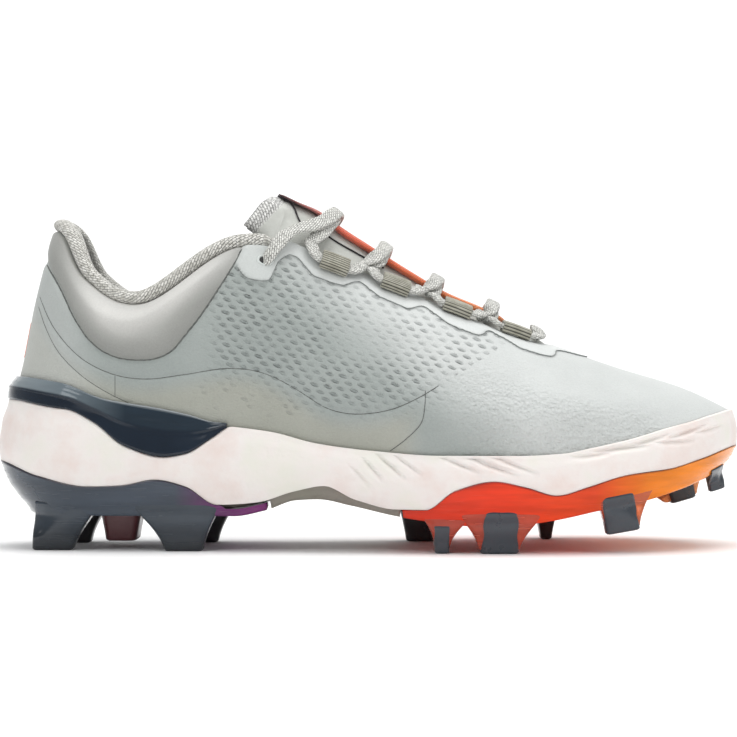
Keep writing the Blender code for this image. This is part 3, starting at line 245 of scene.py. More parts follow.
TONGUE_CROWN = (
    (4.30, -0.072, 1.250), (4.70, -0.040, 1.160), (5.00, -0.010, 1.090), (5.50, 0.043, 0.970),
    (6.00, 0.100, 0.850), (6.50, 0.147, 0.780), (7.00, 0.185, 0.716), (8.00, 0.220, 0.660),
    (9.00, 0.235, 0.630), (10.0, 0.241, 0.610),
)
TONGUE_TOP = (
    (-0.104, 1.300, -0.148, 1.130, 0.20),
    (-0.134, 1.350, -0.166, 1.190, 0.20),
)
TONGUE_ROWS = (4.30, 4.50, 4.75, 5.0, 5.3, 5.6, 6.0, 6.5, 7.0, 7.5, 8.0, 8.6, 9.3, 10.0)
CROWN_COLUMN = 4
PIPING_COLUMN = 0.62
ROLL_ROWS = 9.0
BAND_ROWS = 7.0
SIDE_ROLL = 0.14

# The onlooker's place, and lines on the side as seen from there: x and z in millimetres in the middle plane
EYE = Vector((-0.0005, -0.950, 0.072))
COLLAR_SEAM = (
    (-133, 122), (-131, 114), (-126, 105), (-119, 90.5), (-112, 81.5), (-103.5, 76.7), (-94.5, 75.4),
    (-87, 76), (-80.7, 79), (-75, 85.5), (-68, 94.5), (-61, 105), (-54.3, 116), (-50.5, 124), (-48.5, 129),
)
QUARTER_SEAM = (
    (-134, 101), (-128, 88), (-117, 76), (-103.5, 69.4), (-91, 67.7), (-76, 69.4), (-58, 72), (-46.5, 71),
    (-38, 68), (-28, 62.4), (-17.7, 56), (-7, 53.5), (7.5, 55), (18.5, 59.4), (28, 65),
)
COUNTER_SEAM = ((-134.5, 97), (-131, 87), (-126, 78), (-117, 69), (-108, 63), (-98, 58))
COUNTER_JOIN = ((-103.5, 69), (-103.5, 60.5))
TOE_SEAM = ((22.6, 63), (22.4, 57), (21, 50), (15, 43.5), (8.3, 38.5))


def smooth_step(value):
    """0 below 0, 1 above 1, and a soft S between; also for arrays."""
    value = np.clip(value, 0.0, 1.0)
    return value * value * (3 - 2 * value)


def over(value, start, width):
    """Rises softly from 0 at start to 1 a width further on; value in metres, the others in millimetres."""
    return smooth_step((value - start * MM) / (width * MM))


def groove(distance, depth, width):
    """A rounded groove along a line; its depth and half width in millimetres."""
    return depth * MM * np.exp(-((distance / (width * MM)) ** 2))


def line(table, x, scale=1.0):
    """Reads a table at x with a soft curve that never swings past its rows."""
    xs = [row[0] for row in table]
    ys = [row[1] for row in table]
    if x <= xs[0]:
        return ys[0] * scale
    if x >= xs[-1]:
        return ys[-1] * scale
    index = min(max(int(np.searchsorted(xs, x)) - 1, 0), len(xs) - 2)

    def slope(i):
        if i in (0, len(xs) - 1):
            return 0.0
        before = (ys[i] - ys[i - 1]) / (xs[i] - xs[i - 1])
        after = (ys[i + 1] - ys[i]) / (xs[i + 1] - xs[i])
        return 0.0 if before * after <= 0 else 2 * before * after / (before + after)

    span = xs[index + 1] - xs[index]
    t = (x - xs[index]) / span
    rise = ys[index + 1] - ys[index]
    start, end = slope(index) * span, slope(index + 1) * span
    value = ys[index] + t * start + t * t * (3 * rise - 2 * start - end) + t**3 * (start + end - 2 * rise)
    return value * scale


def height(table, x):
    return STUD_HEIGHT + line(table, x / SHOE_LENGTH, SOLE_DEPTH)


def welt(x):
    return height(WELT_LINE, x)


def rim(x):
    return welt(x) - line(CLIP_DIP, x / SHOE_LENGTH, SOLE_DEPTH)


def under(x):
    return height(UNDER_LINE, x)


def footbed(x):
    return height(FOOTBED_LINE, x)


def ring_points(rows):
    """The closed ring of control points of one table, heel tip first, then the outer side."""
    points = []
    for side, order in ((-1, rows), (1, rows[-2:0:-1])):
        for row in order:
            share = row.lateral if side < 0 else row.medial
            x = row.x * SHOE_LENGTH
            z = footbed(x) + row.z * row.height if hasattr(row, "z") else 0.0
            points.append((x, side * share * row.width, z))
    return np.array(points)


def ring_at(points, station):
    """A point of a closed ring: station 0 is the heel tip, 10 the toe tip, 10 to 20 the inner side."""
    index = math.floor(station)
    t = station - index
    before, start, end, after = (points[(index + k) % LOOP_ROWS] for k in (-1, 0, 1, 2))
    return 0.5 * (
        2 * start
        + (end - before) * t
        + (2 * before - 5 * start + 4 * end - after) * t * t
        + (3 * start - before - 3 * end + after) * t**3
    )


OUTLINE_POINTS = ring_points(OUTLINE)
RINGS = tuple(ring_points(table) for table in (MID_RING, HIGH_RING, EDGE_RING))
EDGE_POINTS = RINGS[2]


def row_stations():
    """Stations from heel tip to toe tip, evenly spaced along the outline."""
    fine = np.linspace(0, HALF_TURN, 1601)
    points = np.array([ring_at(OUTLINE_POINTS, s) for s in fine])
    run = np.concatenate([[0], np.cumsum(np.linalg.norm(np.diff(points, axis=0), axis=1))])
    return [float(s) for s in np.interp(np.linspace(0, run[-1], STATIONS + 1), run, fine)]


ROWS = row_stations()
ALL_ROWS = ROWS + [LOOP_ROWS - s for s in ROWS[-2:0:-1]]


def on_side(station, side):
    """A station of the outer side for -1, and its mirror image on the inner side for 1."""
    return station if side < 0 else LOOP_ROWS - station


def station_at(points, x):
    """The outer side's station where a ring reaches x."""
    low, high = 0.0, HALF_TURN
    for _ in range(40):
        middle = (low + high) / 2
        if ring_at(points, middle)[0] < x:
            low = middle
        else:
            high = middle
    return (low + high) / 2


def outward(station):
    """The level direction out of the outline, turned gently around the narrow toe tip."""
    reach = 0.01 + 0.4 * float(smooth_step(1.2 - abs(station - HALF_TURN)))
    ahead = ring_at(OUTLINE_POINTS, station + reach) - ring_at(OUTLINE_POINTS, station - reach)
    ahead /= np.linalg.norm(ahead)
    return np.array([ahead[1], -ahead[0], 0.0])


def flare(x):
    back = smooth_step((FLARE_FRONT - x) / FLARE_FADE)
    return SOLE_FLARE + (HEEL_FLARE - SOLE_FLARE) * back


def side_inset(x, z):
    """How far inside the outline the side of the sole is at this height."""
    return line(SIDE_TUCK, (z - under(x)) / (welt(x) - under(x)), flare(x))


def inside(station, inset, z):
    point = ring_at(OUTLINE_POINTS, station) - inset * outward(station)
    point[2] = z
    return point


def bedded(station, inset, rise):
    point = inside(station, inset, 0.0)
    point[2] = footbed(point[0]) + rise
    return point


def foot_inset(station):
    x = ring_at(OUTLINE_POINTS, station)[0]
    return side_inset(x, welt(x)) + LIP_WALL + CLEARANCE


def upper_foot(station):
    inset = foot_inset(station)
    low = bedded(station, inset + FOOT_DRAW, CLEARANCE)
    return low, inside(station, inset, welt(ring_at(OUTLINE_POINTS, station)[0]))


def through(points, steps):
    """A soft curve through a few points, as a dense row of points."""
    points = np.array(points, dtype=float)
    gaps = np.sqrt(np.linalg.norm(np.diff(points, axis=0), axis=1))
    chords = np.diff(points, axis=0) / gaps[:, None]
    slopes = np.empty_like(points)
    weight = gaps[1:, None] / (gaps[1:, None] + gaps[:-1, None])
    slopes[1:-1] = chords[:-1] * weight + chords[1:] * (1 - weight)
    slopes[0] = 1.5 * chords[0] - 0.5 * slopes[1]
    slopes[-1] = 1.5 * chords[-1] - 0.5 * slopes[-2]
    result = []
    for index, gap in enumerate(gaps):
        rise = points[index + 1] - points[index]
        start, end = slopes[index] * gap, slopes[index + 1] * gap
        for t in np.arange(steps) / steps:
            bend = t * t * (3 * rise - 2 * start - end) + t**3 * (start + end - 2 * rise)
            result.append(points[index] + t * start + bend)
    result.append(points[-1])
    return np.array(result)


def run_of(points):
    """The distance of each point along its row."""
    return np.concatenate([[0], np.cumsum(np.linalg.norm(np.diff(points, axis=0), axis=1))])


def read(points, places, where):
    """Reads a row of points, known at places, anywhere between them."""
    return np.array([np.interp(where, places, points[:, axis]) for axis in range(3)]).T


def along(points, distance):
    return read(points, run_of(points), distance)


def even(points, count):
    """The same row of points, spaced evenly."""
    return along(points, np.linspace(0, run_of(points)[-1], count))


def wall_curve(station):
    _, start = upper_foot(station)
    return through([start] + [ring_at(ring, station) for ring in RINGS], 20)


def outer_face_at(station, z):
    low, high = upper_foot(station)
    if z <= high[2]:
        return low + (high - low) * (z - low[2]) / (high[2] - low[2])
    curve = wall_curve(station)
    index = int(np.argmax(curve[:, 2] > z))
    share = (z - curve[index - 1][2]) / (curve[index][2] - curve[index - 1][2])
    return curve[index - 1] * (1 - share) + curve[index] * share


def edge_x(station):
    return ring_at(EDGE_POINTS, station)[0]


def collar_share(station):
    return smooth_step((COLLAR_FRONT - edge_x(station)) / COLLAR_FADE)


def binding_share(station):
    return smooth_step((BINDING_END - edge_x(station)) / BINDING_FADE)


def top_wall(station):
    return UPPER_WALL + (COLLAR_WALL - UPPER_WALL) * collar_share(station)


def top_trim(station):
    return TOP_ROUND * top_wall(station) + (BINDING_DIAMETER + CLEARANCE) * binding_share(station)


def normals_of(grid, closed=True):
    """Outward and upward directions of a ring of wall curves."""
    if closed:
        around = np.roll(grid, -1, axis=0) - np.roll(grid, 1, axis=0)
    else:
        around = np.gradient(grid, axis=0)
    upward = np.gradient(grid, axis=1)
    normals = np.cross(around, upward)
    normals /= np.maximum(np.linalg.norm(normals, axis=2), 1e-12)[:, :, None]
    upward /= np.maximum(np.linalg.norm(upward, axis=2), 1e-12)[:, :, None]
    return normals, upward


def side_view(points):
    """Where an onlooker at EYE, or mirrored for the inner side, sees points: x and z in the middle plane."""
    share = -EYE.y / (-EYE.y - np.abs(points[..., 1]))
    x = EYE.x + (points[..., 0] - EYE.x) * share
    z = EYE.z + (points[..., 2] - EYE.z) * share
    return x, z


def distance_to(table, x, z):
    """Signed distance in metres from a line of the side view, positive to its left."""
    points = through([(a * MM, b * MM, 0.0) for a, b in table], 6)[:, :2]
    best = np.full(x.shape, 1e9)
    signed = np.zeros(x.shape)
    for first, second in zip(points, points[1:]):
        step = second - first
        share = np.clip(((x - first[0]) * step[0] + (z - first[1]) * step[1]) / np.dot(step, step), 0, 1)
        dx, dz = x - first[0] - share * step[0], z - first[1] - share * step[1]
        distance = np.hypot(dx, dz)
        nearer = distance < best
        best = np.where(nearer, distance, best)
        signed = np.where(nearer, np.sign(step[0] * dz - step[1] * dx) * distance, signed)
    return signed


def rough(points, scale, seed=0.0):
    """Soft noise between -1 and 1 at each point."""
    flat = points.reshape(-1, 3) / scale + seed
    return np.array([noise(Vector(p)) for p in flat]).reshape(points.shape[:-1])


class Wall:
    """The upper's wall at every station: outer levels, directions, thicknesses, distances from the top."""

    def __init__(self):
        grid, to_top, walls = [], [], []
        for station in ALL_ROWS:
            curve = wall_curve(station)
            total = run_of(curve)[-1] - top_trim(station)
            distances = np.linspace(0, total, LEVELS)
            grid.append(along(curve, distances))
            to_top.append(total - distances)
            padding = smooth_step(1.3 - (total - distances) / COLLAR_DEPTH) * collar_share(station)
            walls.append(UPPER_WALL + (COLLAR_WALL - UPPER_WALL) * padding)
        self.grid, self.to_top, self.walls = np.array(grid), np.array(to_top), np.array(walls)
        self.normals, self.upward = normals_of(self.grid)
        self.x, self.z = side_view(self.grid)
        self.stations = np.array(ALL_ROWS)

    def at(self, values, station):
        """Reads any of the wall's arrays between stations."""
        station = station % LOOP_ROWS
        after = int(np.searchsorted(self.stations, station, side="right"))
        before = after - 1
        start, end = self.stations[before], self.stations[after] if after < len(self.stations) else LOOP_ROWS
        share = (station - start) / (end - start)
        return values[before] * (1 - share) + values[after % len(self.stations)] * share


WALL = Wall()

# Depth of the eyestay's smooth overlay below the throat's edge, over one lobe between two loops
LOBE = ((0.00, 0.0066), (0.10, 0.0122), (0.62, 0.0130), (0.80, 0.0086), (1.00, 0.0068))
EYELET_LOBE = (
    (-0.180, 0.000), (-0.172, 0.006), (-0.157, 0.0135), (-0.136, 0.0150), (-0.120, 0.012), (-0.112, 0.006),
)


def overlay_depth(station):
    """How far down the eyestay's overlay reaches, its corners rounded."""
    x = edge_x(station)
    return float(np.mean([overlay_at(x + step * MM) for step in (-2.4, -1.6, -0.8, 0.0, 0.8, 1.6, 2.4)]))


def overlay_at(x):
    """The overlay's depth at one place along the throat, before its corners are rounded."""
    pitch = (LOOP_XS[-1] - LOOP_XS[0]) / (len(LOOP_XS) - 1)
    place = (x - LOOP_XS[0]) / pitch + 0.5
    if x < LOOP_XS[0] - 0.5 * pitch:
        return line(EYELET_LOBE, x / SHOE_LENGTH)
    ahead = 1 + 0.75 * float(smooth_step((x - LOOP_XS[0]) / (LOOP_XS[-1] - LOOP_XS[0])))
    if place >= len(LOOP_XS):
        end = smooth_step((place - len(LOOP_XS)) / 0.25)
        return (LOBE[-1][1] * (1 - end) + 0.0085 * end) * ahead
    return line(LOBE, place % 1.0) * ahead


# Main soft folds of the side, in millimetres: from and to in the side view, depth and half width
FOLDS = (
    (-125, 72, -100, 64, -0.5, 5.0),
    (-62, 92, -20, 74, -0.4, 9.0),
    (-40, 78, 10, 62, 0.5, 10.0),
    (10, 84, 60, 62, -0.4, 9.0),
    (40, 70, 95, 52, 0.4, 9.0),
    (66, 74, 88, 64, -0.5, 5.0),
    (76, 70, 104, 58, -0.4, 5.0),
    (92, 66, 112, 55, -0.35, 4.5),
)


def fold(x, z, row):
    """One soft trough or ridge between two places, fading at both ends."""
    x0, z0, x1, z1, depth, width = (value * MM for value in row)
    dx, dz = x1 - x0, z1 - z0
    length = math.hypot(dx, dz)
    share = ((x - x0) * dx + (z - z0) * dz) / length**2
    off = ((x - x0) * dz - (z - z0) * dx) / length
    ends = smooth_step(share * 2 + 0.4) * smooth_step(2.4 - share * 2)
    return depth * np.exp(-((off / width) ** 2)) * ends


DIMPLE_PITCH = 0.0054
DIMPLE_RISE = 0.0026
DIMPLE_SLOPE = math.radians(9)
DIMPLE_SLANT = 0.45
DIMPLE_LONG = 0.36
DIMPLE_TALL = 0.30


def dimple_chart(x, z):
    """The side view turned so that the rows of dimples run along its first axis."""
    u = x * math.cos(DIMPLE_SLOPE) - z * math.sin(DIMPLE_SLOPE)
    v = x * math.sin(DIMPLE_SLOPE) + z * math.cos(DIMPLE_SLOPE)
    return u, v


def dimple_field(x, z):
    """Rows of short slanted pits, each row set half a pitch on from the last; 0 to 1."""
    u, v = dimple_chart(x, z)
    row = np.floor(v / DIMPLE_RISE)
    u = (u / DIMPLE_PITCH + 0.5 * (row % 2)) % 1.0 - 0.5
    v = (v / DIMPLE_RISE) % 1.0 - 0.5 + DIMPLE_SLANT * u
    return smooth_step(1 - (u / DIMPLE_LONG) ** 2 - (v / DIMPLE_TALL) ** 2)


def dimple_masks(x, z, quarter, plain):
    """Where the dimples lie: thick above the quarter's line, and in a few patches below it."""
    dense = over(x, -70, 14) * over(-x, -86, 46) * over(quarter, -16, 26) * over(z, 44, 20) * (1 - plain)
    middle = np.exp(-(((x + 2 * MM) / (17 * MM)) ** 2) - (((z - 84 * MM) / (13 * MM)) ** 2))
    dense *= 1 - 0.75 * middle
    patches = 0.55 * smooth_step((rough(WALL.grid, 7 * MM, 11.9) - 0.05) / 0.25)
    below = over(x, -74, 8) * over(-x, -2, 20) * over(z, 50, 5) * over(-quarter, 0, 3)
    return dense, patches * below * (1 - plain)


def upper_masks():
    """Each part of the upper's outer face as a share between 0 and 1, and the distances that they follow."""
    x, z, top = WALL.x, WALL.z, WALL.to_top
    seam, quarter = distance_to(COLLAR_SEAM, x, z), distance_to(QUARTER_SEAM, x, z)
    depth = np.array([overlay_depth(s) for s in ALL_ROWS])[:, None]
    back = over(-x, 50, 2)
    collar = over(seam, -0.4, 0.8) * back
    eyestay = over(depth - top, -0.35, 0.7)
    plain = np.maximum(eyestay, collar)
    toe = over(x, 20, 30) * over(-z - 0.25 * (x - 60 * MM), -74, 18)
    dense, sparse = dimple_masks(x, z, quarter, plain)
    # Painted light: the side goes paler where it turns up toward the vamp, and a little round the heel
    pale = np.maximum(over(x + 1.15 * (z - 72 * MM), -9, 52), 0.45 * over(-x, 106, 20))
    masks = {
        "collar": collar,
        "eyestay": eyestay * (1 - collar),
        "crinkle": toe * (1 - plain) * over(-x, -132, 20),
        "warm": over(-quarter, 0, 9) * over(-x, -24, 14) * (1 - collar),
        "dimples": np.maximum(dense, sparse),
        "pale": pale * (1 - collar),
        # Painted highlight: the top of the collar's bulge made brighter
        "collar_painted_highlight": over(-top, -17, 13) * collar * over(x, -128, 22),
        # Painted shade: the collar darker along its seam, below the bulge
        "hollow": (1 - over(seam, 0, 11)) * collar,
    }
    puff = over(seam, 0, 9) * over(top, -0.96, 8) * back * (1 - 0.7 * over(-x, 118, 10))
    pits = 0.45 * dense + 0.40 * sparse * (1 - dense)
    return masks, {"puff": puff, "seam": groove(seam, 0.9, 1.1) * back, "pits": pits, "plain": plain}


def upper_relief():
    """How far each point of the upper's outer face stands out, and its masks."""
    x, z = WALL.x, WALL.z
    masks, forms = upper_masks()
    relief = EYESTAY_STEP * masks["eyestay"] + COLLAR_BULGE * forms["puff"] - forms["seam"]
    for table, deep, wide in ((QUARTER_SEAM, 0.35, 0.9), (COUNTER_SEAM, 0.25, 0.8), (TOE_SEAM, 0.3, 0.8)):
        relief -= groove(distance_to(table, x, z), deep, wide)
    relief -= MM * forms["pits"] * dimple_field(x, z)
    for row in FOLDS:
        relief += fold(x, z, row) * (1 - masks["collar"])
    long_grain = WALL.grid * np.array([0.55, 1.0, 1.0])
    relief += 0.16 * MM * masks["crinkle"] * rough(long_grain, 3.2 * MM)
    relief += 0.25 * MM * rough(WALL.grid, 26 * MM, 7.3) * (1 - forms["plain"])
    return relief, masks


# Meshes


def grid_mesh(name, grid, around=False, along_too=False, capped=False, masks=None, chart=None):
    """A mesh of quads over a grid of points: around closes the second axis, along_too the first."""
    rows, columns = grid.shape[:2]
    index = np.arange(rows * columns).reshape(rows, columns)
    first = index if along_too else index[:-1]
    second = np.roll(index, -1, axis=0) if along_too else index[1:]
    if around:
        quads = np.stack([first, np.roll(first, -1, axis=1), np.roll(second, -1, axis=1), second], axis=-1)
    else:
        quads = np.stack([first[:, :-1], first[:, 1:], second[:, 1:], second[:, :-1]], axis=-1)
    faces = quads.reshape(-1, 4).tolist()
    if capped:
        faces += [index[0][::-1].tolist(), index[-1].tolist()]
    mesh = bpy.data.meshes.new(name)
    mesh.from_pydata(grid.reshape(-1, 3).tolist(), [], faces)
    for mask, values in (masks or {}).items():
        layer = mesh.attributes.new(mask, "FLOAT", "POINT")
        layer.data.foreach_set("value", np.ascontiguousarray(values, dtype=np.float32).ravel())
    if chart is not None:
        layer = mesh.attributes.new("chart", "FLOAT_VECTOR", "POINT")
        layer.data.foreach_set("vector", np.ascontiguousarray(chart, dtype=np.float32).ravel())
    mesh.shade_smooth()
    return mesh


def chart_of(grid):
    """Distances along both axes of a grid, from its first corner, in metres."""
    u = np.zeros(grid.shape[:2])
    v = np.zeros(grid.shape[:2])
    u[1:] = np.cumsum(np.linalg.norm(np.diff(grid, axis=0), axis=2), axis=0)
    v[:, 1:] = np.cumsum(np.linalg.norm(np.diff(grid, axis=1), axis=2), axis=1)
    u = np.broadcast_to(u[:, u.shape[1] // 2][:, None], v.shape)
    return np.stack([u, v, np.zeros_like(v)], axis=-1)


def dress(name, mesh, material=None, nodes=(), flip=False):
    """A piece from a mesh, facing outward, riding on the shoe and standing for its nodes."""
    if flip:
        mesh.flip_normals()
    if material:
        mesh.materials.append(material)
    piece = bpy.data.objects.new(name, mesh)
    bpy.context.scene.collection.objects.link(piece)
    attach(piece, "root")
    if nodes:
        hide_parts(*nodes)
    return piece


def squared(share, power):
    """A sine or cosine pushed outward, which squares a round section; a power of 1 leaves it round."""
    return np.sign(share) * np.abs(share) ** power


def tube_grid(points, normals, widths, heights, corners=16, power=1.0):
    """Sections along a row of points, wide across it, thin along the normals; power under 1 squares them."""
    points = np.array(points)
    ahead = np.gradient(points, axis=0)
    ahead /= np.linalg.norm(ahead, axis=1)[:, None]
    normals = np.array(normals, dtype=float)
    normals -= np.sum(normals * ahead, axis=1)[:, None] * ahead
    normals /= np.linalg.norm(normals, axis=1)[:, None]
    across = np.cross(normals, ahead)
    angles = 2 * math.pi * (np.arange(corners) + 0.5) / corners
    wide, tall = squared(np.cos(angles), power) / 2, squared(np.sin(angles), power) / 2
    widths = np.broadcast_to(widths, len(points))[:, None, None]
    heights = np.broadcast_to(heights, len(points))[:, None, None]
    return (
        points[:, None]
        + across[:, None] * wide[None, :, None] * widths
        + normals[:, None] * tall[None, :, None] * heights
    )


def joined(lateral, medial):
    """Two sides closed over and under through the middle."""
    top, bottom = (lateral[:, 0] + medial[:, 0]) / 2, (lateral[:, -1] + medial[:, -1]) / 2
    return np.concatenate([top[:, None], lateral, bottom[:, None], medial[:, ::-1]], axis=1)


def rounded_ends(count, steps=4, least=0.35):
    """Shares that narrow a tube softly at both ends."""
    shares = np.ones(count)
    for step in range(steps):
        share = least + (1 - least) * math.sin(math.pi / 2 * step / steps)
        shares[step] = shares[count - 1 - step] = share
    return shares


# Materials


# The darker and lighter shade of each part of the upper; front and rear are those of the eyestay
UPPER_COLOURS = {
    "base": ((0.305, 0.340, 0.326), (0.362, 0.396, 0.380)),
    "warm": ((0.345, 0.355, 0.308), (0.400, 0.408, 0.360)),
    # Painted light: the paler tones of the side where it turns up toward the vamp
    "pale": ((0.540, 0.562, 0.550), (0.595, 0.617, 0.605)),
    "collar": ((0.355, 0.358, 0.338), (0.405, 0.407, 0.385)),
    # Painted highlight: the bright tones on the top of the collar
    "collar_painted_highlight": ((0.600, 0.595, 0.570), (0.660, 0.655, 0.628)),
    # Painted light makes the eyestay's front paler than its rear
    "front": ((0.600, 0.622, 0.610), (0.650, 0.672, 0.660)),
    "rear": ((0.535, 0.563, 0.547), (0.585, 0.613, 0.597)),
}

# Colours along glossy pieces, from rear to front: a share of the piece's reach, and a colour
HEEL_PLATE_STOPS = (
    (0.0, (0.024, 0.040, 0.060)), (0.66, (0.040, 0.056, 0.082)), (0.80, (0.12, 0.014, 0.115)),
    (1.0, (0.17, 0.008, 0.135)),
)
FORE_PLATE_STOPS = (
    (0.0, (0.62, 0.040, 0.020)), (0.30, (0.86, 0.050, 0.012)), (0.55, (0.84, 0.075, 0.016)),
    (0.70, (0.90, 0.23, 0.014)), (1.0, (0.94, 0.31, 0.012)),
)
HEEL_SKIRT_STOPS = ((0.0, (0.024, 0.038, 0.056)), (0.6, (0.042, 0.057, 0.076)), (1.0, (0.03, 0.045, 0.06)))
RED_SKIRT_STOPS = ((0.0, (0.78, 0.09, 0.05)), (0.6, (0.86, 0.16, 0.08)), (1.0, (0.95, 0.42, 0.12)))
RIBBON_STOPS = (
    (0.0, (0.03, 0.015, 0.02)), (0.14, (0.14, 0.02, 0.025)), (0.26, (0.66, 0.20, 0.17)),
    (0.38, (0.86, 0.13, 0.06)), (0.62, (0.94, 0.16, 0.05)), (1.0, (0.96, 0.30, 0.10)),
)
CLIP_BAND_STOPS = ((0.0, (0.225, 0.262, 0.282)), (0.30, (0.150, 0.188, 0.212)), (0.58, (0.014, 0.027, 0.042)))
CLIP_STOPS = ((0.35, (0.003, 0.009, 0.019)), (0.65, (0.007, 0.016, 0.030)))
FOAM_STOPS = ((0.32, (0.80, 0.70, 0.66)), (0.50, (0.835, 0.785, 0.755)), (0.68, (0.80, 0.785, 0.715)))


class Look:
    """A material and its nodes, with a Principled shader."""

    def __init__(self, name, **values):
        self.material = bpy.data.materials.new(name)
        self.material.use_nodes = True
        self.tree = self.material.node_tree
        self.shader = self.tree.nodes["Principled BSDF"]
        for key, value in values.items():
            socket = self.shader.inputs[key.replace("_", " ")]
            socket.default_value = (*value, 1.0) if isinstance(value, tuple) else value
        self.height = None

    def node(self, kind, inputs=None, **settings):
        node = self.tree.nodes.new(kind)
        for key, value in settings.items():
            setattr(node, key, value)
        for key, value in (inputs or {}).items():
            if isinstance(value, bpy.types.NodeSocket):
                self.tree.links.new(value, node.inputs[key])
            else:
                node.inputs[key].default_value = value
        return node

    def place(self):
        return self.node("ShaderNodeTexCoord").outputs["Object"]

    def axis(self, name):
        return self.node("ShaderNodeSeparateXYZ", {"Vector": self.place()}).outputs[name]

    def mask(self, name):
        return self.node("ShaderNodeAttribute", attribute_name=name).outputs["Fac"]

    def chart(self):
        return self.node("ShaderNodeAttribute", attribute_name="chart").outputs["Vector"]

    def stretch(self, vector, scale, turn=(0.0, 0.0, 0.0)):
        inputs = {"Vector": vector, "Scale": scale, "Rotation": turn}
        return self.node("ShaderNodeMapping", inputs).outputs["Vector"]

    def grain(self, vector, scale, detail, turn=(0.0, 0.0, 0.0)):
        """A noise that is finer along some axes than along others."""
        return self.noise(self.stretch(vector, scale, turn), 1.0, detail)

    def noise(self, vector, scale, detail=3.0, rough=0.55):
        inputs = {"Vector": vector, "Scale": scale, "Detail": detail, "Roughness": rough}
        return self.node("ShaderNodeTexNoise", inputs).outputs["Fac"]

    def cells(self, vector, scale, feature="F1"):
        inputs = {"Vector": vector, "Scale": scale}
        return self.node("ShaderNodeTexVoronoi", inputs, feature=feature).outputs["Distance"]

    def bricks(self, vector, width, row, gap):
        inputs = {"Vector": vector, "Scale": 1.0, "Brick Width": width, "Row Height": row, "Mortar Size": gap}
        inputs["Mortar Smooth"] = 1.0
        return self.node("ShaderNodeTexBrick", inputs, offset=0.5).outputs["Fac"]

    def dimples(self):
        """The same rows of slanted pits as in the relief, from the chart."""
        spot = self.node("ShaderNodeSeparateXYZ", {"Vector": self.chart()}).outputs
        level = self.times(spot["Y"], 1 / DIMPLE_RISE)
        shift = self.sums("FRACT", self.times(self.sums("FLOOR", level, 0.0), 0.5), 0.0)
        u = self.plus(self.times(spot["X"], 1 / DIMPLE_PITCH), shift)
        u = self.minus(self.sums("FRACT", u, 0.0), 0.5)
        v = self.minus(self.sums("FRACT", level, 0.0), 0.5)
        v = self.plus(v, self.times(u, DIMPLE_SLANT))
        wide, tall = (
            self.sums("POWER", self.sums("ABSOLUTE", self.times(value, 1 / size), 0.0), 2.0)
            for value, size in ((u, DIMPLE_LONG), (v, DIMPLE_TALL))
        )
        inner = self.minus(1.0, self.plus(wide, tall), True)
        return self.ramp(inner, (0.0, 0.0), (0.25, 0.25), (0.9, 1.0))

    def sums(self, operation, first, second, clamp=False):
        inputs = {0: first, 1: second}
        return self.node("ShaderNodeMath", inputs, operation=operation, use_clamp=clamp).outputs[0]

    def plus(self, first, second):
        return self.sums("ADD", first, second)

    def minus(self, first, second, clamp=False):
        return self.sums("SUBTRACT", first, second, clamp)

    def times(self, first, second, clamp=False):
        return self.sums("MULTIPLY", first, second, clamp)

    def ramp(self, value, *stops):
        """Colours or greys along a value: each stop is a place and a colour or a number."""
        node = self.node("ShaderNodeValToRGB", {"Fac": value})
        elements = node.color_ramp.elements
        while len(elements) < len(stops):
            elements.new(0.5)
        for element, (place, colour) in zip(elements, stops):
            element.position = place
            colour = (colour,) * 3 if isinstance(colour, (int, float)) else colour
            element.color = (*colour, 1.0)
        return node.outputs["Color"]

    def mix(self, factor, first, second, blend="MIX"):
        node = self.node("ShaderNodeMix", data_type="RGBA", blend_type=blend)
        for key, value in ((0, factor), (6, first), (7, second)):
            if isinstance(value, bpy.types.NodeSocket):
                self.tree.links.new(value, node.inputs[key])
            else:
                node.inputs[key].default_value = (*value, 1.0) if isinstance(value, tuple) else value
        return node.outputs[2]

    def shaded(self, colour, shade, share=1.0):
        return self.mix(share, colour, shade, "MULTIPLY")

    def colour(self, socket):
        self.tree.links.new(socket, self.shader.inputs["Base Color"])

    def roughness(self, socket):
        self.tree.links.new(socket, self.shader.inputs["Roughness"])

    def bump(self, height, distance, strength=1.0):
        """Adds a relief, this deep in metres."""
        inputs = {"Height": height, "Distance": distance, "Strength": strength}
        if self.height is not None:
            inputs["Normal"] = self.height
        self.height = self.node("ShaderNodeBump", inputs).outputs["Normal"]
        self.tree.links.new(self.height, self.shader.inputs["Normal"])


